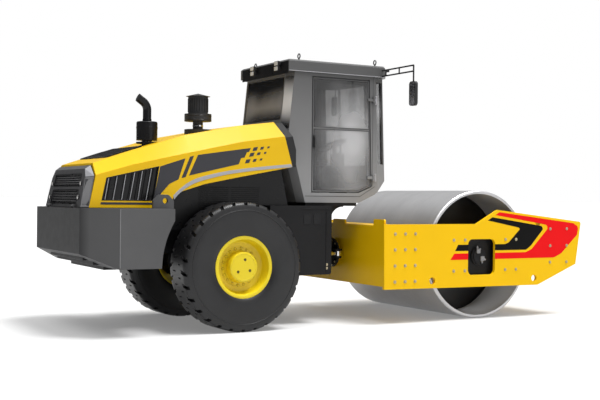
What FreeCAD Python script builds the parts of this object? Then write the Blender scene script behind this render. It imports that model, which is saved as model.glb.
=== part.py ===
"""Single drum roller: articulated soil compactor with a smooth steel drum, two drive wheels and a closed cab.

Units are millimetres. +X points forward to the drum, +Y left, +Z up.
The origin lies on the ground under the centre of the whole machine.
"""
import FreeCAD, Part
import math
import os

V = FreeCAD.Vector

# Gaps between pieces
SEAT = 0.3          # between two pieces of one body that sit on each other
SHAFT_GAP = 0.5     # round a shaft, pin or knuckle

# Drum
DRUM_X = 1856.0
DRUM_R = 850.0
DRUM_WIDTH = 2170.0
SHELL_T = 42.0
BULKHEAD_INSET = 650.0
BULKHEAD_T = 30.0
DRUM_HUB_R = 205.0
DRUM_CHAMFER = 14.0

# Rear wheels
AXLE_X = -1640.0
TYRE_R = 761.0
TYRE_OUT_Y = 1150.0
TYRE_WIDTH = 500.0
TYRE_SHOULDER = 95.0         # from the tread down to the sidewall's ring
GROOVE_COUNT = 30            # on each shoulder of the tread
GROOVE_WIDTH = 42.0
GROOVE_DEPTH = 34.0
GROOVE_LENGTH = 130.0        # from the tyre's face in over the tread
GROOVE_SLANT = 18.0          # degrees from the axle's direction
BEAD_R = 368.0
RIM_T = 22.0
RIM_LIP = 43.0               # width of the rim's flange as seen from the side
RIM_LIP_INSET = 38.0
RIM_DISC_INSET = 200.0       # from the tyre's outer face in to the rim's disc
RIM_DISC_T = 30.0
RIM_HUB_R = 178.0
RIM_HUB_H = 125.0

# Centre joint
PIVOT_X = -60.0
JOINT_Z = 850.0
KINGPIN_R = 45.0
BOSS_R = 110.0
LUG_T = 40.0
LUG_GAP = 420.0              # height between the rear frame's two hitch lugs
LUG_NOSE_R = 150.0
SWIVEL_X = PIVOT_X + 320.0   # rear face of the drum frame
SWIVEL_R = 190.0
SWIVEL_SHAFT_R = 80.0

# Steering cylinders
STEER_EYE_R = 345.0          # distance of the rod's eye from the kingpin
STEER_EYE_ANGLE = 53.0       # degrees from the +X axis
CYL_BASE_X = PIVOT_X - 780.0
CYL_BASE_Y = 285.0
CYL_R = 45.0
CYL_BORE_R = 34.0
CYL_LENGTH = 655.0
ROD_R = 28.0
ROD_INSIDE = 375.0           # rod inside the barrel at rest
EYE_R = 55.0
EYE_T = 60.0
EYE_PIN_R = 22.0

# Drum frame
PLATE_IN_Y = DRUM_WIDTH / 2 + 125.0
PLATE_T = 40.0
PLATE_OUT_Y = PLATE_IN_Y + PLATE_T
PLATE_TOP = JOINT_Z + 409.0
PLATE_BOTTOM = JOINT_Z - 406.0
PLATE_REAR = SWIVEL_X - 33.0
REAR_BEAM_GAP = 226.0        # from the drum to the rear crossbeam
REAR_BEAM_FRONT = DRUM_X - DRUM_R - REAR_BEAM_GAP
REAR_BEAM_BOTTOM = PLATE_BOTTOM + 30.0
REAR_BEAM_TOP = PLATE_TOP - 19.0
FRONT_BEAM_GAP = 174.0
FRONT_BEAM_X = DRUM_X + DRUM_R + FRONT_BEAM_GAP
FRONT_BEAM_LENGTH = 480.0
FRONT_BEAM_BOTTOM = PLATE_BOTTOM + 176.0
FRONT_BEAM_TOP = PLATE_TOP + 11.0
PLATE_FRONT = FRONT_BEAM_X + FRONT_BEAM_LENGTH + 176.0
LASH_HOLE_R = 45.0
BUFFER_LENGTH = 60.0
CARRIER_T = 30.0
CARRIER_Y = PLATE_IN_Y - BUFFER_LENGTH - CARRIER_T
BUFFER_R = 55.0
BUFFER_X = [DRUM_X + dx for dx in (-539, -366, 322, 506)]
BUFFER_Z = [DRUM_R + dz for dz in (-200, 200)]
MOTOR_R = 165.0
# Lashing holes in each side plate: x, z
LASH_HOLES = (
    (PLATE_REAR + 751, PLATE_BOTTOM + 89),
    (PLATE_FRONT - 851, PLATE_BOTTOM + 77),
    (PLATE_FRONT - 789, PLATE_TOP + 17),
)

# Rear frame
RAIL_Y = 450.0
RAIL_T = 30.0
RAIL_BOTTOM = TYRE_R + 139.0
RAIL_H = 300.0
RAIL_TOP = RAIL_BOTTOM + RAIL_H
RAIL_FRONT = PIVOT_X - 140.0
PLATFORM_T = 40.0
TANK_OUT_Y = 800.0
TANK_FRONT = -264.0
TANK_BOTTOM = RAIL_TOP - 580.0
TANK_REAR = AXLE_X + 500.0
ARCH_R = TYRE_R + 79.0

# Counterweight
WEIGHT_REAR = -3541.0
WEIGHT_TOP = RAIL_TOP + 241.0
WEIGHT_REAR_Y = 863.0
WEIGHT_OUT_Y = 1200.0
WEIGHT_CORNER_X = WEIGHT_REAR + 348.0
WEIGHT_FRONT = WEIGHT_REAR + 992.0
WEIGHT_BOTTOM = RAIL_BOTTOM - 125.0
WEIGHT_REAR_BOTTOM = WEIGHT_BOTTOM + 160.0
WEIGHT_ARCH_R = TYRE_R + 299.0
RAIL_REAR = WEIGHT_REAR + 241.0
BAY_Y = 640.0                # half width of the engine bay

# Hood: heights are above the counterweight's top
HOOD_OUT_Y = 800.0
RIDGE_Y = 600.0
HOOD_T = 28.0
HOOD_GAP = 6.0
HOOD_BOTTOM = WEIGHT_TOP + HOOD_GAP
HOOD_HINGE_X = WEIGHT_REAR + 46.0
HOOD_HINGE_Z = WEIGHT_TOP + 25.0
# Stations of the hood: x, height of the side's crease, height of the ridge
HOOD_STATIONS = [
    (x, WEIGHT_TOP + crease, WEIGHT_TOP + ridge)
    for x, crease, ridge in (
        (WEIGHT_REAR + 91, 339, 464),
        (WEIGHT_REAR + 641, 499, 649),
        (WEIGHT_REAR + 1341, 657, 866),
        (-1500, 809, 1007),
        (-780, 914, 1104),
    )
]
HOOD_FOOT_X = WEIGHT_REAR + 125.0   # lower rear corner of the hood's side
# Louvre on the hood's flat top
TOP_GRILLE_REAR = WEIGHT_REAR + 431.0
TOP_GRILLE_FRONT = WEIGHT_REAR + 851.0
TOP_GRILLE_Y = 500.0
TOP_GRILLE_SLATS = 6
# Side vent on the right of the hood: x, z
VENT_OUTLINE = [
    (HOOD_FOOT_X + x, WEIGHT_TOP + h) for x, h in ((144, 85), (199, 343), (831, 487), (764, 84))
]
COVER_FOOT_X = WEIGHT_REAR + 60.0
COVER_HEAD_X = WEIGHT_REAR + 161.0
COVER_HEAD_Z = WEIGHT_TOP + 514.0
# Grilles in the rear cover: lower edge, upper edge
COVER_GRILLES = [(WEIGHT_TOP + z0, WEIGHT_TOP + z1) for z0, z1 in ((49, 199), (249, 379))]

# Cab: heights are above its floor
CAB_OUT_Y = 660.0
CAB_WALL = 45.0
CAB_FLOOR = RAIL_TOP + 321.0
CAB_TOP = CAB_FLOOR + 1639.0
CAB_FACET_Y = 120.0          # width of the corner facets across the machine
CAB_REAR_FACET_X = 60.0
CAB_FRONT_FACET_X = 190.0
# Stations of the cab's rear and front faces: height, rear face x, front face x
CAB_STATIONS = ((CAB_FLOOR - 21, -630, 712), (CAB_FLOOR + 873, -880, 678), (CAB_TOP, -800, 650))
# Cab windows: end of the cab, face or corner, lower edge, upper edge
CAB_WINDOWS = (
    ("rear", "face", CAB_FLOOR + 1039, CAB_TOP - 55),
    ("front", "face", CAB_FLOOR + 509, CAB_TOP - 55),
    ("rear", "corner", CAB_FLOOR + 919, CAB_TOP - 55),
    ("front", "corner", CAB_FLOOR + 509, CAB_TOP - 55),
)
WINDOW_BORDER = 24.0
GLASS_T = 8.0
DOOR_GAP = 8.0
DOOR_BORDER = 58.0
DOOR_RAIL_Z = CAB_FLOOR + 944.0
DOOR_RAIL_H = 46.0
DOOR_HINGE_X = 432.0
DOOR_HINGE_Y = CAB_OUT_Y + 16.0
DOOR_HINGE_Z = (CAB_FLOOR + 329, CAB_TOP - 300)
# Door outline on the cab's side: x, z
DOOR_OUTLINE = (
    (-480, CAB_TOP - 50),
    (368, CAB_TOP - 50),
    (412, CAB_FLOOR + 214),
    (215, CAB_FLOOR + 134),
    (-480, CAB_FLOOR + 134),
)
KNUCKLE_R = 14.0
ROOF_H = 150.0
ROOF_OUT_Y = CAB_OUT_Y + 16.0
ROOF_REAR = -835.0
ROOF_TOP = CAB_TOP + SEAT + ROOF_H

MIRROR_X = 560.0
MIRROR_Y = CAB_OUT_Y + 715.0
MIRROR_TOP = CAB_TOP - 110.0
MIRROR_H = 305.0
MIRROR_W = 134.0
MIRROR_T = 40.0
MUFFLER_X = WEIGHT_REAR + 991.0
MUFFLER_Y = -300.0
CLEANER_X = -1890.0
CLEANER_Y = -300.0
LUG_HOLE_R = 32.0


def wire(points, plane, at):
    """Closed outline of straight runs and tangent arcs; each point is (a, b) or (a, b, corner radius)."""
    def place(a, b):
        return {"xy": V(a, b, at), "xz": V(a, at, b), "yz": V(at, a, b)}[plane]

    count = len(points)
    corners = []
    for i, point in enumerate(points):
        here = V(point[0], point[1], 0)
        if len(point) < 3:
            corners.append((here, None, here))
            continue
        back = V(points[i - 1][0], points[i - 1][1], 0) - here
        ahead = V(points[(i + 1) % count][0], points[(i + 1) % count][1], 0) - here
        back.normalize()
        ahead.normalize()
        half = back.getAngle(ahead) / 2
        reach = point[2] / math.tan(half)
        middle = back + ahead
        middle.normalize()
        middle = here + middle * (point[2] / math.sin(half) - point[2])
        corners.append((here + back * reach, middle, here + ahead * reach))
    edges = []
    for i, (start, middle, end) in enumerate(corners):
        if middle:
            arc = Part.Arc(place(start.x, start.y), place(middle.x, middle.y), place(end.x, end.y))
            edges.append(arc.toShape())
        after = corners[(i + 1) % count][0]
        if (after - end).Length > 0.001:
            edges.append(Part.LineSegment(place(end.x, end.y), place(after.x, after.y)).toShape())
    return Part.Wire(edges)


def prism(points, plane, low, high):
    """Solid with the outline in one plane, from low to high across it."""
    away = {"xy": V(0, 0, 1), "xz": V(0, 1, 0), "yz": V(1, 0, 0)}[plane]
    return Part.Face(wire(points, plane, low)).extrude(away * (high - low))


def box(x0, x1, y0, y1, z0, z1):
    return Part.makeBox(x1 - x0, y1 - y0, z1 - z0, V(x0, y0, z0))


def rod(radius, start, end):
    start, end = V(*start), V(*end)
    return Part.makeCylinder(radius, (end - start).Length, start, end - start)


def lathe(profile, start, axis):
    """Turned solid: the profile's points are (radius, distance along the axis, optional corner radius)."""
    shape = Part.Face(wire(profile, "xz", 0.0)).revolve(V(0, 0, 0), V(0, 0, 1), 360)
    shape.Placement = FreeCAD.Placement(V(*start), FreeCAD.Rotation(V(0, 0, 1), V(*axis)))
    return shape


def fuse(shapes):
    shape = shapes[0]
    if len(shapes) > 1:
        shape = shape.multiFuse(shapes[1:])
    return shape.removeSplitter()


def mirrored(shape):
    return shape.mirror(V(0, 0, 0), V(0, 1, 0))


def both_sides(shape):
    return Part.makeCompound([shape, mirrored(shape)])


def save(name, shape):
    shape.exportStep("parts/" + name + ".step")


# Drum and what carries it

def drum_shell():
    half = DRUM_WIDTH / 2
    shell = rod(DRUM_R, (DRUM_X, -half, DRUM_R), (DRUM_X, half, DRUM_R))
    ends = [edge for edge in shell.Edges if len(edge.Vertexes) == 1]
    shell = shell.makeChamfer(DRUM_CHAMFER, ends)
    shell = shell.cut(rod(DRUM_R - SHELL_T, (DRUM_X, -half, DRUM_R), (DRUM_X, half, DRUM_R)))
    heads = []
    for side in (-1, 1):
        outer = side * (half - BULKHEAD_INSET)
        inner = side * (half - BULKHEAD_INSET - BULKHEAD_T)
        heads.append(rod(DRUM_R - SHELL_T, (DRUM_X, inner, DRUM_R), (DRUM_X, outer, DRUM_R)))
        heads.append(rod(DRUM_HUB_R, (DRUM_X, outer, DRUM_R), (DRUM_X, outer + side * BULKHEAD_T, DRUM_R)))
    return fuse([shell] + heads)


def side_plate():
    """Right side plate of the drum frame with its service opening and lashing holes."""
    y0, y1 = -PLATE_OUT_Y, -PLATE_IN_Y
    outline = [
        (PLATE_REAR, PLATE_TOP),
        (DRUM_X - 169, PLATE_TOP),
        (DRUM_X + 186, PLATE_TOP + 187, 40),
        (PLATE_FRONT, PLATE_TOP + 25, 30),
        (PLATE_FRONT - 93, PLATE_BOTTOM + 254),
        (PLATE_FRONT - 786, PLATE_BOTTOM - 16, 60),
        (PLATE_REAR + 11, PLATE_BOTTOM),
    ]
    plate = prism(outline, "xz", y0, y1)
    x0, x1 = DRUM_X - 306, DRUM_X + 144
    z0, z1 = DRUM_R - 260, DRUM_R + 210
    opening = [(x0, z0, 70), (x1, z0, 70), (x1, z1, 70), (x0, z1, 70)]
    plate = plate.cut(prism(opening, "xz", y0 - 1, y1 + 1))
    for x, z in LASH_HOLES:
        plate = plate.cut(rod(LASH_HOLE_R, (x, y0 - 1, z), (x, y1 + 1, z)))
    return plate


def rear_crossbeam():
    x0, x1 = SWIVEL_X, REAR_BEAM_FRONT
    y1 = PLATE_IN_Y - SEAT
    beam = box(x0, x1, -y1, y1, REAR_BEAM_BOTTOM, REAR_BEAM_TOP)
    pieces = [beam, rod(SWIVEL_R - 25, (x0 - 18, 0, JOINT_Z), (x0, 0, JOINT_Z))]
    for low, high, height in ((-y1 + 7, -y1 + 252, 80), (-270, 30, 63), (y1 - 252, y1 - 7, 80)):
        lug = [(low, REAR_BEAM_TOP), (high, REAR_BEAM_TOP), (high, REAR_BEAM_TOP + height, 25),
               (low, REAR_BEAM_TOP + height, 25)]
        pieces.append(prism(lug, "yz", x0, x0 + 25))
    socket = rod(SWIVEL_SHAFT_R + SHAFT_GAP, (x0 - 20, 0, JOINT_Z), (x0 + 140, 0, JOINT_Z))
    return fuse(pieces).cut(socket)


def front_crossbeam():
    x0, x1 = FRONT_BEAM_X, FRONT_BEAM_X + FRONT_BEAM_LENGTH
    y1 = PLATE_IN_Y - SEAT
    outline = [
        (x0, FRONT_BEAM_BOTTOM + 140),
        (x0 + 160, FRONT_BEAM_BOTTOM),
        (x1, FRONT_BEAM_BOTTOM + 110),
        (x1, FRONT_BEAM_TOP),
        (x0, FRONT_BEAM_TOP),
    ]
    return prism(outline, "xz", -y1, y1)


def drum_carriers():
    """Steel plate inside each side plate that holds the drum's motor."""
    outline = [
        (BUFFER_X[0] - 90, BUFFER_Z[0] - 90, 60),
        (BUFFER_X[-1] + 90, BUFFER_Z[0] - 90, 60),
        (BUFFER_X[-1] + 90, BUFFER_Z[-1] + 90, 60),
        (BUFFER_X[0] - 90, BUFFER_Z[-1] + 90, 60),
    ]
    plate = prism(outline, "xz", -CARRIER_Y - CARRIER_T, -CARRIER_Y)
    plate = plate.cut(rod(MOTOR_R + SHAFT_GAP, (DRUM_X, -CARRIER_Y - 50, DRUM_R), (DRUM_X, -CARRIER_Y + 50, DRUM_R)))
    return both_sides(plate)


def rubber_buffers():
    pads = []
    for x in BUFFER_X:
        for z in BUFFER_Z:
            start = -CARRIER_Y - CARRIER_T - SEAT
            end = -PLATE_IN_Y + SEAT
            pads.append(rod(BUFFER_R, (x, end, z), (x, start, z)))
    return Part.makeCompound(pads + [mirrored(pad) for pad in pads])


def drum_motors():
    """Drive motor on each side, from the carrier plate in to the drum's hub."""
    hub_y = DRUM_WIDTH / 2 - BULKHEAD_INSET + BULKHEAD_T
    outer = CARRIER_Y + CARRIER_T
    profile = [
        (0, hub_y + SHAFT_GAP),
        (150, hub_y + SHAFT_GAP),
        (150, CARRIER_Y - 230),
        (MOTOR_R + 60, CARRIER_Y - 230),
        (MOTOR_R + 60, CARRIER_Y - SEAT),
        (MOTOR_R, CARRIER_Y - SEAT),
        (MOTOR_R, outer + 6),
        (0, outer + 6),
    ]
    motor = lathe(profile, (DRUM_X, 0, DRUM_R), (0, -1, 0))
    return both_sides(motor)


def scrapers():
    """Steel strips that clean the drum, one on each crossbeam."""
    gap = 7.0
    half = DRUM_WIDTH / 2 - 40
    rear_z, front_z = JOINT_Z - 210, JOINT_Z + 160
    rear_reach = DRUM_X - math.sqrt((DRUM_R + gap) ** 2 - (rear_z - DRUM_R) ** 2)
    front_reach = DRUM_X + math.sqrt((DRUM_R + gap) ** 2 - (front_z - DRUM_R) ** 2)
    rear = box(REAR_BEAM_FRONT + SEAT, rear_reach, -half, half, rear_z - 20, rear_z)
    front = box(front_reach, FRONT_BEAM_X - SEAT, -half, half, front_z, front_z + 20)
    return Part.makeCompound([rear, front])


# Centre joint and steering

def eye_place():
    angle = math.radians(STEER_EYE_ANGLE)
    return PIVOT_X + STEER_EYE_R * math.cos(angle), -STEER_EYE_R * math.sin(angle)


def hitch_yoke():
    low, high = JOINT_Z - LUG_GAP / 2, JOINT_Z + LUG_GAP / 2
    boss = rod(BOSS_R, (PIVOT_X, 0, low + 5), (PIVOT_X, 0, high - 5))
    pin = rod(KINGPIN_R, (PIVOT_X, 0, low - LUG_T - 12), (PIVOT_X, 0, high + LUG_T + 12))
    flange_x = SWIVEL_X - 60
    neck = box(PIVOT_X, flange_x, -95, 95, JOINT_Z - 150, JOINT_Z + 150)
    flange = rod(SWIVEL_R, (flange_x, 0, JOINT_Z), (flange_x + 36, 0, JOINT_Z))
    shaft = rod(SWIVEL_SHAFT_R, (flange_x, 0, JOINT_Z), (SWIVEL_X + 120, 0, JOINT_Z))
    eye_x, eye_y = eye_place()
    ears = []
    for z in (JOINT_Z - EYE_T / 2 - 7 - 25, JOINT_Z + EYE_T / 2 + 7):
        outline = [(PIVOT_X + 60, -60), (flange_x, -60), (flange_x, eye_y), (eye_x - EYE_R, eye_y)]
        ear = prism(outline, "xy", z, z + 25)
        tip = rod(EYE_R, (eye_x, eye_y, z), (eye_x, eye_y, z + 25))
        ears.append(fuse([ear, tip]))
    ears += [mirrored(ear) for ear in ears]
    return fuse([boss, pin, neck, flange, shaft] + ears)


def steering_barrel():
    start = (CYL_BASE_X + EYE_R - 8, -CYL_BASE_Y, JOINT_Z)
    end = (CYL_BASE_X + CYL_LENGTH, -CYL_BASE_Y, JOINT_Z)
    direction = barrel_direction()
    tube = Part.makeCylinder(CYL_R, CYL_LENGTH - EYE_R + 8, V(*start), V(1, 0, 0))
    bore = Part.makeCylinder(CYL_BORE_R, CYL_LENGTH - EYE_R - 70, V(start[0] + 30, start[1], start[2]), V(1, 0, 0))
    gland = Part.makeCylinder(ROD_R + SHAFT_GAP, 60, V(end[0] - 50, end[1], end[2]), V(1, 0, 0))
    tube = tube.cut(bore).cut(gland)
    eye = rod(EYE_R, (CYL_BASE_X, -CYL_BASE_Y, JOINT_Z - EYE_T / 2), (CYL_BASE_X, -CYL_BASE_Y, JOINT_Z + EYE_T / 2))
    barrel = fuse([eye, tube])
    hole = rod(
        EYE_PIN_R + SHAFT_GAP,
        (CYL_BASE_X, -CYL_BASE_Y, JOINT_Z - EYE_T),
        (CYL_BASE_X, -CYL_BASE_Y, JOINT_Z + EYE_T),
    )
    barrel = barrel.cut(hole)
    barrel.rotate(V(CYL_BASE_X, -CYL_BASE_Y, JOINT_Z), V(0, 0, 1), direction)
    return barrel


def barrel_direction():
    """Angle of the right cylinder from +X at rest, in degrees."""
    eye_x, eye_y = eye_place()
    return math.degrees(math.atan2(eye_y + CYL_BASE_Y, eye_x - CYL_BASE_X))


def cylinder_length():
    eye_x, eye_y = eye_place()
    return math.hypot(eye_x - CYL_BASE_X, eye_y + CYL_BASE_Y)


def steering_rod():
    length = cylinder_length()
    tail = CYL_BASE_X + CYL_LENGTH - ROD_INSIDE
    head = CYL_BASE_X + length
    bar = rod(ROD_R, (tail, -CYL_BASE_Y, JOINT_Z), (head - EYE_R + 6, -CYL_BASE_Y, JOINT_Z))
    eye = rod(EYE_R, (head, -CYL_BASE_Y, JOINT_Z - EYE_T / 2), (head, -CYL_BASE_Y, JOINT_Z + EYE_T / 2))
    eye = eye.cut(rod(EYE_PIN_R, (head, -CYL_BASE_Y, JOINT_Z - EYE_T), (head, -CYL_BASE_Y, JOINT_Z + EYE_T)))
    shape = fuse([bar, eye])
    shape.rotate(V(CYL_BASE_X, -CYL_BASE_Y, JOINT_Z), V(0, 0, 1), barrel_direction())
    return shape


# Rear wheels and axle

def tyre():
    """Right tyre, turned about the axle; distances along the axis run outward from the machine's centre."""
    inner_y = TYRE_OUT_Y - TYRE_WIDTH
    ring_r = TYRE_R - TYRE_SHOULDER
    # Sidewall from the bead out to the tread: radius, depth from the tyre's face
    sidewall = (
        (BEAD_R, 40),
        (BEAD_R + 60, 4),
        (ring_r - 60, 0),
        (ring_r + 30, 10),
        (TYRE_R - 16, 34),
        (TYRE_R, 62),
    )
    profile = [(radius, inner_y + depth) for radius, depth in sidewall]
    profile += [(radius, TYRE_OUT_Y - depth) for radius, depth in reversed(sidewall)]
    body = lathe(profile, (AXLE_X, 0, TYRE_R), (0, -1, 0))
    return body.cut(Part.makeCompound(tread_grooves()))


def tread_grooves():
    """Slanted grooves that part the lugs, half a pitch apart on the two shoulders."""
    low, high = TYRE_R - GROOVE_DEPTH, TYRE_R + 30
    pitch = 360.0 / GROOVE_COUNT
    axle = V(AXLE_X, 0, TYRE_R)
    grooves = []
    for side, shift, edge_y in ((1, 0.0, TYRE_OUT_Y), (-1, 0.5, TYRE_OUT_Y - TYRE_WIDTH)):
        y0, y1 = sorted((-edge_y - side * 60, -edge_y + side * GROOVE_LENGTH))
        groove = box(-GROOVE_WIDTH / 2, GROOVE_WIDTH / 2, y0, y1, low, high)
        groove.rotate(V(0, -edge_y, 0), V(0, 0, 1), -side * GROOVE_SLANT)
        groove.translate(axle)
        for i in range(GROOVE_COUNT):
            turned = groove.copy()
            turned.rotate(axle, V(0, 1, 0), (i + shift) * pitch)
            grooves.append(turned)
    return grooves


def rim():
    inner_y = TYRE_OUT_Y - TYRE_WIDTH
    seat_r = BEAD_R - SEAT
    disc_y = TYRE_OUT_Y - RIM_DISC_INSET
    face_y = disc_y + RIM_DISC_T
    lip_y = TYRE_OUT_Y - RIM_LIP_INSET
    profile = [
        (0, disc_y),
        (seat_r - RIM_T, disc_y),
        (seat_r - RIM_T, inner_y + RIM_LIP_INSET + 2),
        (seat_r, inner_y + RIM_LIP_INSET + 2),
        (seat_r, lip_y),
        (seat_r - RIM_LIP, lip_y),
        (seat_r - RIM_LIP - 4, lip_y - 36),
        (seat_r - RIM_LIP - 20, face_y + 30),
        (seat_r - RIM_LIP - 50, face_y),
        (RIM_HUB_R + 12, face_y),
        (RIM_HUB_R, face_y + 14),
        (RIM_HUB_R, face_y + RIM_HUB_H - 12),
        (RIM_HUB_R - 12, face_y + RIM_HUB_H),
        (0, face_y + RIM_HUB_H),
    ]
    return lathe(profile, (AXLE_X, 0, TYRE_R), (0, -1, 0))


def rear_axle():
    """Axle housing with its differential and the reduction hubs inside the rims."""
    inner_y = TYRE_OUT_Y - TYRE_WIDTH
    disc_y = TYRE_OUT_Y - RIM_DISC_INSET
    profile = [
        (0, -1),
        (215, -1),
        (215, 90, 60),
        (95, 210, 40),
        (95, inner_y - 130),
        (150, inner_y - 90),
        (150, inner_y - 30),
        (240, inner_y - 10),
        (240, disc_y - SHAFT_GAP),
        (0, disc_y - SHAFT_GAP),
    ]
    half = lathe(profile, (AXLE_X, 0, TYRE_R), (0, -1, 0))
    pad = box(AXLE_X - 110, AXLE_X + 110, -RAIL_Y, -RAIL_Y + 90, TYRE_R, RAIL_BOTTOM - SEAT)
    half = fuse([half, pad])
    return fuse([half, mirrored(half)])


# Rear frame and its load

def rear_frame():
    rails = []
    low, high = JOINT_Z - LUG_GAP / 2, JOINT_Z + LUG_GAP / 2
    side = [
        (RAIL_REAR, RAIL_BOTTOM),
        (CYL_BASE_X - 460, RAIL_BOTTOM, 80),
        (CYL_BASE_X - 140, low - LUG_T, 60),
        (RAIL_FRONT, low - LUG_T),
        (RAIL_FRONT, RAIL_TOP),
        (RAIL_REAR, RAIL_TOP),
    ]
    rail = prism(side, "xz", -RAIL_Y, -RAIL_Y + RAIL_T)
    rails += [rail, mirrored(rail)]
    inner = RAIL_Y - RAIL_T
    rails.append(box(RAIL_REAR, RAIL_REAR + 30, -inner, inner, RAIL_BOTTOM, RAIL_TOP))
    rails.append(box(CYL_BASE_X - 150, CYL_BASE_X - 110, -inner, inner, low, RAIL_TOP))
    rails.append(box(AXLE_X - 660, AXLE_X - 630, -inner, inner, RAIL_BOTTOM, RAIL_TOP))
    lug = [(CYL_BASE_X - 150, -inner), (RAIL_FRONT, -inner), (PIVOT_X, -LUG_NOSE_R), (PIVOT_X, LUG_NOSE_R), (RAIL_FRONT, inner),
           (CYL_BASE_X - 150, inner)]
    for z in (low - LUG_T, high):
        plate = prism(lug, "xy", z, z + LUG_T)
        nose = rod(LUG_NOSE_R, (PIVOT_X, 0, z), (PIVOT_X, 0, z + LUG_T))
        rails.append(fuse([plate, nose]))
    for y in (-CYL_BASE_Y, CYL_BASE_Y):
        for z in (JOINT_Z - EYE_T / 2 - SHAFT_GAP - 30, JOINT_Z + EYE_T / 2 + SHAFT_GAP):
            rails.append(box(CYL_BASE_X - 112, CYL_BASE_X + 40, y - 50, y + 50, z, z + 30))
        rails.append(rod(EYE_PIN_R, (CYL_BASE_X, y, JOINT_Z - 70), (CYL_BASE_X, y, JOINT_Z + 70)))
    frame = fuse(rails)
    bore = rod(KINGPIN_R + SHAFT_GAP, (PIVOT_X, 0, low - 100), (PIVOT_X, 0, high + 100))
    return frame.cut(bore)


def counterweight():
    plan = [
        (WEIGHT_REAR, -WEIGHT_REAR_Y),
        (WEIGHT_CORNER_X, -WEIGHT_OUT_Y),
        (WEIGHT_FRONT, -WEIGHT_OUT_Y),
        (WEIGHT_FRONT, WEIGHT_OUT_Y),
        (WEIGHT_CORNER_X, WEIGHT_OUT_Y),
        (WEIGHT_REAR, WEIGHT_REAR_Y),
    ]
    block = prism(plan, "xy", WEIGHT_BOTTOM, WEIGHT_TOP)
    under = [(WEIGHT_REAR - 1, WEIGHT_BOTTOM - 1), (WEIGHT_CORNER_X, WEIGHT_BOTTOM - 1),
             (WEIGHT_CORNER_X, WEIGHT_BOTTOM), (WEIGHT_REAR - 1, WEIGHT_REAR_BOTTOM)]
    wide = WEIGHT_OUT_Y + 10
    block = block.cut(prism(under, "xz", -wide, wide))
    arch = rod(WEIGHT_ARCH_R, (AXLE_X, -wide, TYRE_R), (AXLE_X, wide, TYRE_R))
    block = block.cut(arch)
    pocket = RAIL_Y + SEAT
    block = block.cut(box(RAIL_REAR - SEAT, WEIGHT_FRONT + 1, -pocket, pocket, RAIL_BOTTOM - SEAT, WEIGHT_TOP + 1))
    block = block.cut(box(RAIL_REAR - SEAT, WEIGHT_FRONT + 1, -BAY_Y, BAY_Y, RAIL_TOP - 30, WEIGHT_TOP + 1))
    knuckle = hinge_knuckles(HOOD_HINGE_X, HOOD_HINGE_Z, WEIGHT_TOP, "frame")
    return fuse([block] + knuckle)


def hinge_knuckles(x, z, foot_z, part):
    """Hinge lugs of the hood about a line along Y: the outer pair on the frame, the middle one on the hood."""
    pieces = []
    for y in (-480, 480):
        spans = {"frame": ((y - 70, y - 30), (y + 30, y + 70)), "hood": ((y - 30 + SHAFT_GAP, y + 30 - SHAFT_GAP),)}
        for y0, y1 in spans[part]:
            barrel = rod(KNUCKLE_R, (x, y0, z), (x, y1, z))
            if part == "frame":
                leaf = box(x - KNUCKLE_R, x + KNUCKLE_R, y0, y1, foot_z, z)
            else:
                leaf = box(x, x + 60, y0, y1, z - 6, z + KNUCKLE_R)
            pieces.append(fuse([barrel, leaf]))
    return pieces


def tank(side):
    """Tank beside the frame under the cab, with the wheel's arch cut out of its rear end."""
    outline = [
        (TANK_REAR, TANK_BOTTOM),
        (TANK_FRONT, TANK_BOTTOM, 30),
        (TANK_FRONT, CAB_FLOOR - PLATFORM_T - SEAT),
        (TANK_REAR, CAB_FLOOR - PLATFORM_T - SEAT),
    ]
    y0, y1 = RAIL_Y + SEAT, TANK_OUT_Y
    body = prism(outline, "xz", y0, y1)
    body = body.cut(rod(ARCH_R, (AXLE_X, 0, TYRE_R), (AXLE_X, y1 + 10, TYRE_R)))
    return body if side == "left" else mirrored(body)


def engine_block():
    x0, x1 = RAIL_REAR + 600, RAIL_REAR + 1950
    side = RAIL_Y - 110
    pieces = [box(x0, x1, -side, side, RAIL_TOP + 30, RAIL_TOP + 650)]
    for x in (x0 + 100, x1 - 150):
        pieces.append(box(x, x + 120, -RAIL_Y, RAIL_Y, RAIL_TOP + SEAT, RAIL_TOP + 60))
    return fuse(pieces)


def radiator():
    x0 = RAIL_REAR + 30
    return box(x0, x0 + 130, -BAY_Y + 40, BAY_Y - 40, RAIL_TOP + SEAT, RAIL_TOP + 590)


def engine_louvres():
    """Closed side panels under the hood, inside the wheels."""
    y0, y1 = -BAY_Y + 18, -BAY_Y + 40
    tank_top = CAB_FLOOR - PLATFORM_T
    rear = WEIGHT_FRONT - 111
    outline = [
        (rear, RAIL_TOP + 10),
        (TANK_REAR - SEAT, RAIL_TOP + 10),
        (TANK_REAR - SEAT, tank_top),
        (-800, tank_top),
        (-900, WEIGHT_TOP + 499),
        (AXLE_X - 372, WEIGHT_TOP + 359),
        (WEIGHT_FRONT + 149, WEIGHT_TOP + 219),
        (rear, WEIGHT_TOP + 119),
    ]
    panel = prism(outline, "xz", y0, y1)
    for z in range(int(RAIL_TOP) + 60, int(tank_top) - 40, 56):
        slot = prism([(y0 - 1, z), (y0 + 12, z + 26), (y0 - 1, z + 26)], "yz", AXLE_X - 300, TANK_REAR - 60)
        panel = panel.cut(slot)
    foot = box(rear + 60, TANK_REAR - 160, y0, -RAIL_Y - SEAT, RAIL_TOP - 20, RAIL_TOP + 10)
    return both_sides(fuse([panel, foot]))


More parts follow.
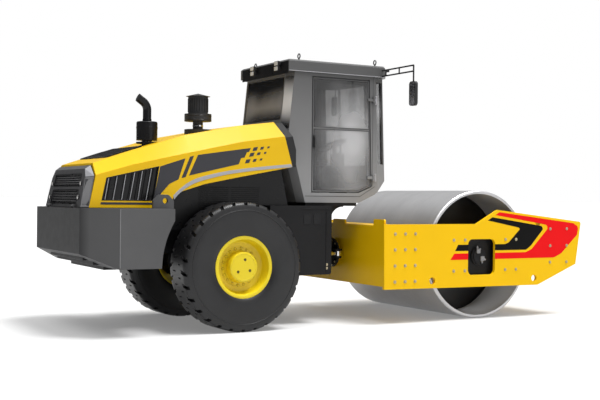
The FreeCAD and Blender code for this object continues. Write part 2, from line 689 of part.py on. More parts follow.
def cab_platform():
    """Plate that carries the cab over the tanks, on two posts with gussets."""
    under = CAB_FLOOR - PLATFORM_T
    pieces = [box(-560, 200, -CAB_OUT_Y + 20, CAB_OUT_Y - 20, under, CAB_FLOOR - SEAT)]
    for y in (-RAIL_Y, RAIL_Y - RAIL_T):
        pieces.append(box(-520, RAIL_FRONT, y, y + RAIL_T, RAIL_TOP + SEAT, under))
        gusset = [
            (RAIL_FRONT, under),
            (RAIL_FRONT, under - 191),
            (-70, under - 191),
            (-70, under - 14, 175),
            (120, under - 14),
            (120, under),
        ]
        pieces.append(prism(gusset, "xz", y, y + RAIL_T))
    return fuse(pieces)


# Cab

def cab_section(z, rear, front, inset):
    """Eight-sided plan of the cab at one height, drawn in from the outer face by inset."""
    y_side = CAB_OUT_Y - inset
    y_face = CAB_OUT_Y - CAB_FACET_Y - inset * 0.6
    plan = [
        (rear + inset, -y_face),
        (rear + CAB_REAR_FACET_X + inset, -y_side),
        (front - CAB_FRONT_FACET_X - inset, -y_side),
        (front - inset, -y_face),
        (front - inset, y_face),
        (front - CAB_FRONT_FACET_X - inset, y_side),
        (rear + CAB_REAR_FACET_X + inset, y_side),
        (rear + inset, y_face),
    ]
    return wire(plan, "xy", z)


def cab_volume(inset):
    """Outer body of the cab, or the space inside it when inset is the wall's thickness."""
    sections = [cab_section(z, rear, front, inset) for z, rear, front in CAB_STATIONS]
    lower = Part.makeLoft(sections[:2], True, True)
    upper = Part.makeLoft(sections[1:], True, True)
    body = lower.fuse(upper)
    rise = CAB_FLOOR + inset * 1.1
    low = CAB_FLOOR - 200
    chin = [(-1000, low), (1000, low), (1000, rise + 539), (700, rise + 292), (470, rise + 111), (220, rise),
            (-1000, rise)]
    return body.cut(prism(chin, "xz", -1000, 1000))


def inward(points, distance):
    """Outline moved in by a distance, for convex outlines."""
    face = Part.Face(wire(points, "xy", 0.0))
    moved = face.makeOffset2D(-distance, 2) if distance else face
    return [(v.Point.x, v.Point.y) for v in moved.OuterWire.OrderedVertexes]


def door_opening(y0, y1, grow):
    return prism(inward(DOOR_OUTLINE, -grow), "xz", y0, y1)


def cab_face_x(z, end):
    """Place of the cab's rear or front face at height z."""
    column = 1 if end == "rear" else 2
    for low, high in zip(CAB_STATIONS, CAB_STATIONS[1:]):
        if z <= high[0]:
            break
    return low[column] + (high[column] - low[column]) * (z - low[0]) / (high[0] - low[0])


def window_section(z, end, kind, border):
    """Plan of a window's cutter at one height, across the wall."""
    face_x = cab_face_x(z, end)
    y_face = CAB_OUT_Y - CAB_FACET_Y
    if kind == "face":
        start, finish = V(face_x, -y_face, 0), V(face_x, y_face, 0)
    else:
        depth = CAB_REAR_FACET_X if end == "rear" else -CAB_FRONT_FACET_X
        start, finish = V(face_x, -y_face, 0), V(face_x + depth, -CAB_OUT_Y, 0)
    along = finish - start
    along.normalize()
    across = V(-along.y, along.x, 0) * (CAB_WALL * 2)
    start, finish = start + along * border, finish - along * border
    return wire([(q.x, q.y) for q in (start - across, finish - across, finish + across, start + across)], "xy", z)


def window_cutters(shrink=0.0):
    """Volumes of the windows, drawn in by shrink all round."""
    cutters = []
    for end, kind, z0, z1 in CAB_WINDOWS:
        border = WINDOW_BORDER + shrink
        levels = (z0 + shrink, z1 - shrink)
        cutter = Part.makeLoft([window_section(z, end, kind, border) for z in levels], True, True)
        cutters.append(cutter)
        if kind == "corner":
            cutters.append(mirrored(cutter))
    return cutters


def cab_frame():
    body = cab_volume(0).cut(cab_volume(CAB_WALL))
    for cutter in window_cutters():
        body = body.cut(cutter)
    for side in (-1, 1):
        y_in, y_out = CAB_OUT_Y - CAB_WALL - 20, CAB_OUT_Y + 20
        low, high = sorted((side * y_in, side * y_out))
        body = body.cut(door_opening(low, high, DOOR_GAP))
    knuckles = []
    for z in DOOR_HINGE_Z:
        for dz in (-44, 18):
            knuckle = rod(KNUCKLE_R, (DOOR_HINGE_X, -DOOR_HINGE_Y, z + dz), (DOOR_HINGE_X, -DOOR_HINGE_Y, z + dz + 26))
            leaf = box(DOOR_HINGE_X, DOOR_HINGE_X + 26, -DOOR_HINGE_Y - 5, -CAB_OUT_Y + 4, z + dz, z + dz + 26)
            knuckles.append(fuse([knuckle, leaf]))
    knuckles += [mirrored(k) for k in knuckles]
    return fuse([body] + knuckles)


def door():
    """Right door: a framed leaf with a middle rail and two panes' openings."""
    y0, y1 = -CAB_OUT_Y, -CAB_OUT_Y + CAB_WALL
    leaf = prism(list(DOOR_OUTLINE), "xz", y0, y1)
    for pane in pane_outlines():
        leaf = leaf.cut(prism(pane, "xz", y0 - 1, y1 + 1))
    knuckles = []
    for z in DOOR_HINGE_Z:
        span = (z - 18 + SHAFT_GAP, z + 18 - SHAFT_GAP)
        knuckle = rod(KNUCKLE_R, (DOOR_HINGE_X, -DOOR_HINGE_Y, span[0]), (DOOR_HINGE_X, -DOOR_HINGE_Y, span[1]))
        arm = box(DOOR_HINGE_X - 90, DOOR_HINGE_X, -DOOR_HINGE_Y - 5, -CAB_OUT_Y - 2, span[0], span[1])
        foot = box(DOOR_HINGE_X - 90, DOOR_HINGE_X - 62, -DOOR_HINGE_Y - 5, -CAB_OUT_Y + 4, span[0], span[1])
        knuckles.append(fuse([knuckle, arm, foot]))
    return fuse([leaf] + knuckles)


def pane_outlines(shrink=0.0):
    """The door's upper and lower pane, inside its border and its middle rail."""
    inner = Part.Face(wire(inward(DOOR_OUTLINE, DOOR_BORDER + shrink), "xz", 0.0))
    half = DOOR_RAIL_H / 2 + shrink
    panes = []
    for z0, z1 in ((DOOR_RAIL_Z + half, CAB_TOP), (CAB_FLOOR, DOOR_RAIL_Z - half)):
        pane = inner.common(box(-900, 900, -10, 10, z0, z1)).Faces[0]
        panes.append([(v.Point.x, v.Point.z) for v in pane.OuterWire.OrderedVertexes])
    return panes


def door_glass():
    middle = -CAB_OUT_Y + CAB_WALL / 2
    return Part.makeCompound(
        [prism(pane, "xz", middle - GLASS_T / 2, middle + GLASS_T / 2) for pane in pane_outlines(SEAT)]
    )


def cab_glass():
    """Windscreen, rear window and corner panes, set in the middle of the cab's wall."""
    middle = CAB_WALL / 2
    sheet = cab_volume(middle - GLASS_T / 2).cut(cab_volume(middle + GLASS_T / 2))
    return Part.makeCompound([sheet.common(cutter) for cutter in window_cutters(SEAT)])


def cab_roof():
    low = CAB_TOP + SEAT
    front = CAB_STATIONS[2][2]
    plan = [
        (ROOF_REAR, -ROOF_OUT_Y),
        (front - 50, -ROOF_OUT_Y),
        (front + 30, -ROOF_OUT_Y + 110),
        (front + 30, ROOF_OUT_Y - 110),
        (front - 50, ROOF_OUT_Y),
        (ROOF_REAR, ROOF_OUT_Y),
    ]
    slab = prism(plan, "xy", low, ROOF_TOP)
    top_edges = [e for e in slab.Edges if e.BoundBox.ZMin > ROOF_TOP - 1]
    slab = slab.makeChamfer(22, top_edges)
    visor = box(front + 20, front + 150, -480, 480, ROOF_TOP - 40, ROOF_TOP - 20)
    valance_y = CAB_OUT_Y - CAB_FACET_Y
    valance = box(ROOF_REAR, ROOF_REAR + 27, -valance_y, valance_y, CAB_TOP - 32, low)
    eyes = []
    for x in (ROOF_REAR + 185, front - 160):
        for y in (-ROOF_OUT_Y + 76, ROOF_OUT_Y - 76):
            ring = Part.makeTorus(28, 8, V(x, y, ROOF_TOP + 50), V(1, 0, 0))
            stem = rod(10, (x, y, ROOF_TOP - 10), (x, y, ROOF_TOP + 24))
            eyes.append(fuse([ring, stem]))
    return fuse([slab, visor, valance] + eyes)


def hood_seal():
    """Rubber-faced bulkhead between the hood's front rim and the cab."""
    body = hood_loft(hood_stations(14), HOOD_OUT_Y - 14)
    strip = body.common(hood_front_plane(120).cut(hood_front_plane(HOOD_GAP)))
    strip = strip.cut(box(-2000, 0, -900, 900, WEIGHT_TOP - 241, WEIGHT_TOP + 519))
    strip = strip.cut(cab_volume(-SEAT))
    return sorted(strip.Solids, key=lambda solid: -solid.Volume)[0]


def seat():
    """Seat on its base; heights count from the cushion's underside."""
    z = CAB_FLOOR + 469
    pieces = [
        box(-420, 60, -250, 250, z, z + 100),
        box(-330, -40, -180, 180, CAB_FLOOR + 50, z),
        prism([(-440, z + 100), (-330, z + 100), (-420, z + 730), (-520, z + 730)], "xz", -240, 240),
        prism([(-545, z + 770), (-455, z + 770), (-470, z + 950), (-550, z + 950)], "xz", -130, 130),
    ]
    for y in (-70, 70):
        pieces.append(rod(8, (-500, y, z + 710), (-505, y, z + 790)))
    return fuse(pieces)


def steering_console():
    """Column with the steering wheel."""
    top = CAB_FLOOR + 659
    column = prism([(240, CAB_FLOOR), (400, CAB_FLOOR), (330, top), (250, top)], "xz", -110, 110)
    column = column.common(cab_volume(CAB_WALL + SEAT))
    centre = V(210, 0, top + 110)
    tilt = V(-0.5, 0, 1)
    pieces = [
        column,
        Part.makeTorus(190, 14, centre, tilt),
        rod(24, (290, 0, top - 30), tuple(centre)),
        Part.makeCylinder(50, 30, centre + V(4, 0, -14), tilt),
    ]
    for angle in (90, 210, 330):
        spoke = rod(11, tuple(centre), tuple(centre + V(190, 0, 0)))
        spoke.rotate(centre, V(0, 0, 1), angle)
        spoke.rotate(centre, V(0, 1, 0), -math.degrees(math.atan(0.5)))
        pieces.append(spoke)
    return fuse(pieces)


def mirrors():
    """Ladder bracket and mirror on the right, and the same mirrored on the left."""
    y_in, y_out = -ROOF_OUT_Y - SEAT, -MIRROR_Y
    z0, z1 = CAB_TOP + 18, CAB_TOP + 92
    pieces = [
        rod(10, (MIRROR_X, y_in, z0), (MIRROR_X, y_out, z0)),
        rod(10, (MIRROR_X, y_in, z1), (MIRROR_X, y_out, z1)),
        rod(10, (MIRROR_X, y_out, MIRROR_TOP - 20), (MIRROR_X, y_out, z1)),
    ]
    for y in (y_in - 84, y_in - 384):
        pieces.append(rod(9, (MIRROR_X, y, z0), (MIRROR_X, y, z1)))
    y0, y1 = -MIRROR_Y - MIRROR_W / 2, -MIRROR_Y + MIRROR_W / 2
    low = MIRROR_TOP - MIRROR_H
    head = [(y0, low, 40), (y1, low, 40), (y1, MIRROR_TOP, 40), (y0, MIRROR_TOP, 40)]
    pieces.append(prism(head, "yz", MIRROR_X - MIRROR_T / 2, MIRROR_X + MIRROR_T / 2))
    return both_sides(fuse(pieces))


def work_lamps():
    """Two pairs of lamps on the roof's rear face, one above the other, tapered to their feet."""
    face_x, foot_x = ROOF_REAR - 46, ROOF_REAR - SEAT
    lamps = []
    for y in (-470, 200):
        for z in (CAB_TOP + 16, CAB_TOP + 80):
            body = [(face_x, z), (face_x + 18, z), (foot_x, z + 14), (foot_x, z + 46), (face_x + 18, z + 60),
                    (face_x, z + 60)]
            lamps.append(prism(body, "xz", y, y + 100))
    return Part.makeCompound(lamps)


def lifting_lugs():
    x = WEIGHT_FRONT - 68
    z = WEIGHT_TOP + SEAT
    outline = [(x - 125, z), (x + 125, z), (x + 125, z + 89), (x + 60, z + 159, 50), (x - 60, z + 159, 50),
               (x - 125, z + 89)]
    y0, y1 = -WEIGHT_OUT_Y + 180, -WEIGHT_OUT_Y + 220
    plate = prism(outline, "xz", y0, y1)
    hole_z = WEIGHT_TOP + 89
    plate = plate.cut(rod(LUG_HOLE_R, (x + 20, y0 - 1, hole_z), (x + 20, y1 + 1, hole_z)))
    return both_sides(plate)


# Hood

def hood_stations(inset):
    return [(x, crease - inset, ridge - inset) for x, crease, ridge in HOOD_STATIONS]


def hood_loft(stations, half):
    """Body under the hood's crease and ridge lines, between the first and last station."""
    ridge_half = half - (HOOD_OUT_Y - RIDGE_Y)
    low = WEIGHT_TOP - 141
    sections = []
    for x, crease, ridge in stations:
        profile = [(-half, low), (-half, crease), (-ridge_half, ridge), (ridge_half, ridge), (half, crease),
                   (half, low)]
        sections.append(wire(profile, "yz", x))
    return Part.makeLoft(sections, True, True)


def hood_front_plane(offset):
    """Space behind the hood's slanted front end, moved forward by offset."""
    low, high = WEIGHT_TOP - 241, WEIGHT_TOP + 1159
    return prism([(-4000, low), (-614 + offset, low), (-1026 + offset, high), (-4000, high)], "xz", -1000, 1000)


def hood_rear_plane():
    """Space ahead of the hood's slanted rear end."""
    low, high = WEIGHT_TOP - 241, WEIGHT_TOP + 1159
    x = HOOD_FOOT_X
    return prism([(x - 51, low), (0, low), (0, high), (x + 238, high)], "xz", -1000, 1000)


def lower_edge():
    """Space above the counterweight and the wheel's arch, which bounds the hood's side."""
    edge = [
        (-4000, HOOD_BOTTOM),
        (WEIGHT_FRONT + 124, HOOD_BOTTOM),
        (WEIGHT_FRONT + 134, WEIGHT_TOP + 121, 40),
        (WEIGHT_FRONT + 221, WEIGHT_TOP + 191, 120),
        (AXLE_X - 372, WEIGHT_TOP + 289, 300),
        (AXLE_X + 85, WEIGHT_TOP + 380, 400),
        (-837, WEIGHT_TOP + 516),
        (0, WEIGHT_TOP + 679),
        (0, WEIGHT_TOP + 1259),
        (-4000, WEIGHT_TOP + 1259),
    ]
    return prism(edge, "xz", -1000, 1000)


def hood_shell():
    outer = hood_loft(hood_stations(0), HOOD_OUT_Y)
    inner = hood_loft([(x, c - 12, r - HOOD_T) for x, c, r in HOOD_STATIONS], HOOD_OUT_Y - HOOD_T)
    shell = outer.common(hood_front_plane(0)).common(hood_rear_plane()).common(lower_edge())
    shell = shell.cut(inner)
    vent = prism(VENT_OUTLINE, "xz", -HOOD_OUT_Y - 10, -HOOD_OUT_Y + HOOD_T + 10)
    return shell.cut(vent).cut(mirrored(vent))


def hood_vents():
    """Dark slatted inserts in the hood's sides."""
    y0 = -HOOD_OUT_Y + 8
    inside = inward(VENT_OUTLINE, SEAT)
    pieces = [prism(inside, "xz", y0 + 12, -HOOD_OUT_Y + HOOD_T)]
    left, right = VENT_OUTLINE[0][0], VENT_OUTLINE[3][0]
    low, high = WEIGHT_TOP - 41, WEIGHT_TOP + 559
    count = 7
    for i in range(count):
        x = left + 40 + (right - left - 50) * i / count
        slat = prism([(x, low), (x + 14, low), (x + 124, high), (x + 110, high)], "xz", y0, y0 + 13)
        pieces.append(slat.common(prism(inside, "xz", y0, y0 + 13)))
    side_vent = fuse(pieces)
    return Part.makeCompound([side_vent, mirrored(side_vent), hood_top_grille()])


def hood_top_grille():
    """Slatted grille that lies on the hood's flat top, with its slats along the machine's width."""
    kink = HOOD_STATIONS[1][0]
    along = (TOP_GRILLE_REAR, kink, TOP_GRILLE_FRONT)
    under = [(x, hood_top(x) + SEAT) for x in along]
    over = [(x, hood_top(x) + 16) for x in reversed(along)]
    grille = prism(under + over, "xz", -TOP_GRILLE_Y, TOP_GRILLE_Y)
    pitch = (TOP_GRILLE_FRONT - TOP_GRILLE_REAR - 40) / TOP_GRILLE_SLATS
    for i in range(TOP_GRILLE_SLATS):
        x = TOP_GRILLE_REAR + 20 + pitch * i
        low, high = hood_top(x + 8), hood_top(x + pitch - 8)
        slot = [(x + 8, low + 6), (x + pitch - 8, high + 6), (x + pitch - 8, high + 60), (x + 8, low + 60)]
        grille = grille.cut(prism(slot, "xz", -TOP_GRILLE_Y + 20, TOP_GRILLE_Y - 20))
    return grille


def hood_rear_cover():
    """Dark rear end of the hood with two recessed grilles."""
    crease, ridge = WEIGHT_TOP + 359, WEIGHT_TOP + 484
    front = [(-HOOD_OUT_Y, HOOD_BOTTOM), (-HOOD_OUT_Y, crease), (-RIDGE_Y, ridge), (RIDGE_Y, ridge),
             (HOOD_OUT_Y, crease), (HOOD_OUT_Y, HOOD_BOTTOM)]
    crease, ridge = WEIGHT_TOP + 349, WEIGHT_TOP + 444
    back = [(-693, HOOD_BOTTOM), (-650, crease), (-575, ridge), (575, ridge), (650, crease), (693, HOOD_BOTTOM)]

    def ring(points, x_low, x_high):
        span = COVER_HEAD_Z - HOOD_BOTTOM
        corners = [V(x_low + (x_high - x_low) * (z - HOOD_BOTTOM) / span, y, z) for y, z in points]
        return Part.makePolygon(corners + [corners[0]])

    x = HOOD_FOOT_X - SEAT
    sections = [ring(front, x, x + 86), ring(back, COVER_FOOT_X, COVER_HEAD_X)]
    cover = Part.makeLoft(sections, True, True)
    for z0, z1 in COVER_GRILLES:
        cover = cover.cut(cover_slab(z0, z1, 28))
        for i in range(1, 5):
            z = z0 + (z1 - z0) * i / 5
            cover = cover.fuse(cover_slab(z - 5, z + 5, 30).cut(cover_slab(z - 20, z + 20, 10)))
    knuckles = hinge_knuckles(HOOD_HINGE_X, HOOD_HINGE_Z, HOOD_BOTTOM, "hood")
    return fuse([cover] + knuckles)


def cover_face_x(z):
    """Place of the rear cover's slanted rear face at height z."""
    return COVER_FOOT_X + (COVER_HEAD_X - COVER_FOOT_X) * (z - HOOD_BOTTOM) / (COVER_HEAD_Z - HOOD_BOTTOM)


def cover_slab(z0, z1, depth):
    """Slab behind the rear cover's face, from outside it down to a depth."""
    x0, x1 = cover_face_x(z0) + depth, cover_face_x(z1) + depth
    return prism([(x0 - 120, z0), (x0, z0), (x1, z1), (x1 - 120, z1)], "xz", -500, 500)


def tail_lamps():
    lamps = []
    for z in (WEIGHT_TOP + 119, WEIGHT_TOP + 279):
        for y in (-560, 560):
            lamps.append(rod(26, (cover_face_x(z) - 14, y, z), (cover_face_x(z - 26) - SEAT, y, z)))
    return Part.makeCompound(lamps)


def exhaust_stack():
    """Silencer on the hood's top with a bent tail pipe."""
    base_z = hood_top(MUFFLER_X)
    top = WEIGHT_TOP + 1029
    can = lathe([(0, base_z + 45), (125, base_z + 45), (125, top, 18), (0, top)], (MUFFLER_X, MUFFLER_Y, 0), (0, 0, 1))
    foot = rod(60, (MUFFLER_X, MUFFLER_Y, base_z - 40), (MUFFLER_X, MUFFLER_Y, base_z + 60))
    foot = foot.cut(hood_skin(SEAT))
    path = Part.Wire([
        Part.LineSegment(V(0, 0, top - 20), V(0, 0, top + 130)).toShape(),
        Part.Arc(V(0, 0, top + 130), V(-18, 0, top + 198), V(-70, 0, top + 246)).toShape(),
        Part.LineSegment(V(-70, 0, top + 246), V(-118, 0, top + 282)).toShape(),
    ])
    circle = Part.Wire([Part.Circle(V(0, 0, top - 20), V(0, 0, 1), 50).toShape()])
    pipe = path.makePipeShell([circle], True, True)
    pipe.translate(V(MUFFLER_X, MUFFLER_Y, 0))
    return fuse([can, foot, pipe])


def hood_skin(gap):
    """The hood's outer body, grown by a gap."""
    return hood_loft(hood_stations(-gap), HOOD_OUT_Y + gap)


def hood_top(x):
    """Height of the hood's flat top at x."""
    for (x0, _, z0), (x1, _, z1) in zip(HOOD_STATIONS, HOOD_STATIONS[1:]):
        if x0 <= x <= x1:
            return z0 + (z1 - z0) * (x - x0) / (x1 - x0)
    raise ValueError("x lies off the hood")


def air_precleaner():
    foot_z = hood_top(CLEANER_X) - 60
    top = WEIGHT_TOP + 1401
    profile = [
        (0, foot_z),
        (165, foot_z),
        (165, top - 442),
        (62, top - 442),
        (62, top - 342),
        (165, top - 342),
        (165, top - 252),
        (122, top - 252),
        (122, top - 42),
        (150, top - 37),
        (0, top),
    ]
    return lathe(profile, (CLEANER_X, CLEANER_Y, 0), (0, 0, 1)).cut(hood_skin(SEAT))


def main():
    os.makedirs("parts", exist_ok=True)
    right_tyre, right_rim = tyre(), rim()
    barrel, piston = steering_barrel(), steering_rod()
    right_door, right_glass = door(), door_glass()
    nodes = {
        "rear_frame": rear_frame(),
        "counterweight": counterweight(),
        "fuel_tank": tank("left"),
        "hydraulic_tank": tank("right"),
        "engine_block": engine_block(),
        "radiator": radiator(),
        "engine_louvres": engine_louvres(),
        "rear_axle": rear_axle(),
        "cab_platform": cab_platform(),
        "cab_frame": cab_frame(),
        "cab_roof": cab_roof(),
        "cab_glass": cab_glass(),
        "hood_seal": hood_seal(),
        "seat": seat(),
        "steering_console": steering_console(),
        "mirrors": mirrors(),
        "work_lamps": work_lamps(),
        "lifting_lugs": lifting_lugs(),
        "hood_shell": hood_shell(),
        "hood_rear_cover": hood_rear_cover(),
        "hood_vents": hood_vents(),
        "exhaust_stack": exhaust_stack(),
        "air_precleaner": air_precleaner(),
        "tail_lamps": tail_lamps(),
        "door_right": right_door,
        "door_left": mirrored(right_door),
        "door_glass_right": right_glass,
        "door_glass_left": mirrored(right_glass),
        "tyre_right": right_tyre,
        "tyre_left": mirrored(right_tyre),
        "rim_right": right_rim,
        "rim_left": mirrored(right_rim),
        "hitch_yoke": hitch_yoke(),
        "cylinder_barrel_right": barrel,
        "cylinder_barrel_left": mirrored(barrel),
        "cylinder_rod_right": piston,
        "cylinder_rod_left": mirrored(piston),
        "side_plates": both_sides(side_plate()),
        "rear_crossbeam": rear_crossbeam(),
        "front_crossbeam": front_crossbeam(),
        "drum_carriers": drum_carriers(),
        "rubber_buffers": rubber_buffers(),
        "drum_motors": drum_motors(),
        "scrapers": scrapers(),
        "drum_shell": drum_shell(),
    }
    for name, shape in nodes.items():
        save(name, shape)


main()
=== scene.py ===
import math

import bmesh
import bpy
from mathutils import Matrix, Vector


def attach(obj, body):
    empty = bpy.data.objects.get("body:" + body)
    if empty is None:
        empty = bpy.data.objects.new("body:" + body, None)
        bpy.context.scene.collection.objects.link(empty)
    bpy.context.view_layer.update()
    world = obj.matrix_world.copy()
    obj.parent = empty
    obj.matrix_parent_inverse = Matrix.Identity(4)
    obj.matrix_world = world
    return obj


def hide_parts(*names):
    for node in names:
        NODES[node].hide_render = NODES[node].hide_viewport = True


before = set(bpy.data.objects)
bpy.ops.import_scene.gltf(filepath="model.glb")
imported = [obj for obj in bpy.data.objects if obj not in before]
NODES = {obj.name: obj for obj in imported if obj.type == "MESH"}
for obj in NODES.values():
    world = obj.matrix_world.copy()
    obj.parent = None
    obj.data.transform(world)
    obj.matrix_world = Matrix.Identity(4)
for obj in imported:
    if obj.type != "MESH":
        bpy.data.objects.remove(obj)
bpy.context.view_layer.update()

# Places taken from the CAD model, in metres
AXLE = Vector((-1.640, 0.0, 0.761))
TYRE_R = 0.761
TYRE_OUT = 1.150
TYRE_IN = 0.650
DRUM = Vector((1.856, 0.0, 0.850))
DRUM_R = 0.850
PLATE_Y = 1.250
SERVICE_OPENING = (1.550, 2.000)
HOOD_Y = 0.800
WEIGHT_TOP = 1.441
CAB_Y = 0.660


# Materials

def node_material(name):
    mat = bpy.data.materials.new(name)
    mat.use_nodes = True
    tree = mat.node_tree
    bsdf = tree.nodes["Principled BSDF"]
    return mat, tree, bsdf


def add(tree, kind, **values):
    node = tree.nodes.new(kind)
    for key, value in values.items():
        if hasattr(node, key):
            setattr(node, key, value)
        else:
            node.inputs[key].default_value = value
    return node


def coordinates(tree, scale=(1, 1, 1)):
    source = add(tree, "ShaderNodeTexCoord")
    mapping = add(tree, "ShaderNodeMapping")
    mapping.inputs["Scale"].default_value = scale
    tree.links.new(source.outputs["Object"], mapping.inputs["Vector"])
    return mapping.outputs["Vector"]


def noise(tree, vector, scale, detail=4.0, rough=0.55):
    node = add(tree, "ShaderNodeTexNoise")
    node.inputs["Scale"].default_value = scale
    node.inputs["Detail"].default_value = detail
    node.inputs["Roughness"].default_value = rough
    tree.links.new(vector, node.inputs["Vector"])
    return node.outputs["Fac"]


def ramp(tree, fac, low, high, start, end):
    node = add(tree, "ShaderNodeMapRange")
    node.inputs["From Min"].default_value = start
    node.inputs["From Max"].default_value = end
    node.inputs["To Min"].default_value = low
    node.inputs["To Max"].default_value = high
    tree.links.new(fac, node.inputs["Value"])
    return node.outputs["Result"]


def blend_colours(tree, fac, a, b):
    node = add(tree, "ShaderNodeMix", data_type="RGBA")
    for socket, value in (("A_Color", a), ("B_Color", b)):
        target = [s for s in node.inputs if s.identifier == socket][0]
        if isinstance(value, tuple):
            target.default_value = (*value, 1.0)
        else:
            tree.links.new(value, target)
    target = [s for s in node.inputs if s.identifier == "Factor_Float"][0]
    tree.links.new(fac, target)
    return [s for s in node.outputs if s.identifier == "Result_Color"][0]


def bump(tree, bsdf, height, strength, distance=0.001, radius=0.0):
    node = add(tree, "ShaderNodeBump")
    node.inputs["Strength"].default_value = strength
    node.inputs["Distance"].default_value = distance
    tree.links.new(height, node.inputs["Height"])
    if radius:
        edge = add(tree, "ShaderNodeBevel", samples=4)
        edge.inputs["Radius"].default_value = radius
        tree.links.new(edge.outputs["Normal"], node.inputs["Normal"])
    tree.links.new(node.outputs["Normal"], bsdf.inputs["Normal"])


def paint(name, light, dark, rough=0.32, coat=0.2, radius=0.004, shine=0.35, painted_shading=None):
    """Sprayed paint: slow drift of tone, fine orange peel and slightly dusty patches.

    painted_shading, if given, is painted light and shade: an axis with two places on it and the tone's strength at
    each."""
    mat, tree, bsdf = node_material(name)
    vector = coordinates(tree)
    tone = ramp(tree, noise(tree, vector, 1.7, 5.0), 0.0, 1.0, 0.3, 0.7)
    colour = blend_colours(tree, tone, light, dark)
    if painted_shading:
        axis, start, end, low, high = painted_shading
        source = add(tree, "ShaderNodeTexCoord")
        parts = add(tree, "ShaderNodeSeparateXYZ")
        tree.links.new(source.outputs["Object"], parts.inputs[0])
        scaled = add(tree, "ShaderNodeVectorMath", operation="SCALE")
        tree.links.new(colour, scaled.inputs[0])
        tree.links.new(ramp(tree, parts.outputs[axis], low, high, start, end), scaled.inputs["Scale"])
        colour = scaled.outputs["Vector"]
    tree.links.new(colour, bsdf.inputs["Base Color"])
    dust = noise(tree, vector, 9.0, 8.0, 0.7)
    tree.links.new(ramp(tree, dust, rough - 0.05, rough + 0.08, 0.3, 0.8), bsdf.inputs["Roughness"])
    bsdf.inputs["Specular IOR Level"].default_value = shine
    bsdf.inputs["Coat Weight"].default_value = coat
    bsdf.inputs["Coat Roughness"].default_value = 0.12
    bump(tree, bsdf, noise(tree, vector, 420.0, 2.0), 0.05, 0.0004, radius)
    return mat


def plastic(name, light, dark, rough=0.55, grain=900.0, depth=0.15, radius=0.0):
    mat, tree, bsdf = node_material(name)
    vector = coordinates(tree)
    tone = ramp(tree, noise(tree, vector, 6.0, 6.0), 0.0, 1.0, 0.3, 0.7)
    tree.links.new(blend_colours(tree, tone, light, dark), bsdf.inputs["Base Color"])
    fine = noise(tree, vector, grain, 3.0)
    tree.links.new(ramp(tree, fine, rough - 0.06, rough + 0.08, 0.3, 0.7), bsdf.inputs["Roughness"])
    bump(tree, bsdf, fine, depth, 0.0005, radius)
    return mat


def rubber(name, light, dark, rough=0.5):
    """Tyre rubber with a faint film of dust in broad patches."""
    mat, tree, bsdf = node_material(name)
    vector = coordinates(tree)
    patches = ramp(tree, noise(tree, vector, 3.0, 6.0, 0.6), 0.0, 1.0, 0.35, 0.75)
    tree.links.new(blend_colours(tree, patches, dark, light), bsdf.inputs["Base Color"])
    fine = noise(tree, vector, 260.0, 4.0)
    tree.links.new(ramp(tree, fine, rough - 0.06, rough + 0.08, 0.3, 0.7), bsdf.inputs["Roughness"])
    bsdf.inputs["Specular IOR Level"].default_value = 0.45
    bump(tree, bsdf, fine, 0.08, 0.0006, 0.003)
    return mat


def drum_steel(name, light, dark, rough):
    """Rolled drum steel with fine scratches round it and bare grey inside the shell; the bulkheads deep in the drum
    are near black, as painted shade.
    """
    mat, tree, bsdf = node_material(name)
    bands = noise(tree, coordinates(tree, (0.6, 1.4, 0.6)), 3.0, 6.0, 0.6)
    scratches = noise(tree, coordinates(tree, (0.8, 260.0, 0.8)), 2.0, 4.0, 0.6)
    rolled = blend_colours(tree, ramp(tree, bands, 0.0, 1.0, 0.3, 0.7), light, dark)
    source = add(tree, "ShaderNodeTexCoord")
    parts = add(tree, "ShaderNodeSeparateXYZ")
    tree.links.new(source.outputs["Object"], parts.inputs[0])

    def math_node(operation, a, b=None):
        node = add(tree, "ShaderNodeMath", operation=operation)
        for socket, value in zip(node.inputs, (a, b)):
            if isinstance(value, float):
                socket.default_value = value
            elif value is not None:
                tree.links.new(value, socket)
        return node.outputs[0]

    dx = math_node("SUBTRACT", parts.outputs["X"], DRUM.x)
    dz = math_node("SUBTRACT", parts.outputs["Z"], DRUM.z)
    radius = math_node("SQRT", math_node("ADD", math_node("MULTIPLY", dx, dx), math_node("MULTIPLY", dz, dz)))
    inside = math_node("LESS_THAN", radius, DRUM_R - 0.041)
    deep = math_node("LESS_THAN", math_node("ABSOLUTE", parts.outputs["Y"]), 0.475)
    # Painted shade: near black on the bulkheads deep inside the drum, bare grey on the rest of the inside.
    painted = blend_colours(tree, deep, (0.62, 0.62, 0.625), (0.012, 0.012, 0.013))
    tree.links.new(blend_colours(tree, inside, rolled, painted), bsdf.inputs["Base Color"])
    tree.links.new(ramp(tree, scratches, rough - 0.06, rough + 0.1, 0.3, 0.7), bsdf.inputs["Roughness"])
    tree.links.new(ramp(tree, inside, 0.8, 0.0, 0.0, 1.0), bsdf.inputs["Metallic"])
    bump(tree, bsdf, scratches, 0.05, 0.0004, 0.003)
    return mat


def bare_metal(name, colour, dark, rough, metallic=1.0):
    mat, tree, bsdf = node_material(name)
    vector = coordinates(tree)
    tone = ramp(tree, noise(tree, vector, 30.0, 4.0), 0.0, 1.0, 0.3, 0.7)
    tree.links.new(blend_colours(tree, tone, colour, dark), bsdf.inputs["Base Color"])
    tree.links.new(ramp(tree, noise(tree, vector, 160.0, 4.0), rough - 0.04, rough + 0.08, 0.3, 0.7),
                   bsdf.inputs["Roughness"])
    bsdf.inputs["Metallic"].default_value = metallic
    return mat


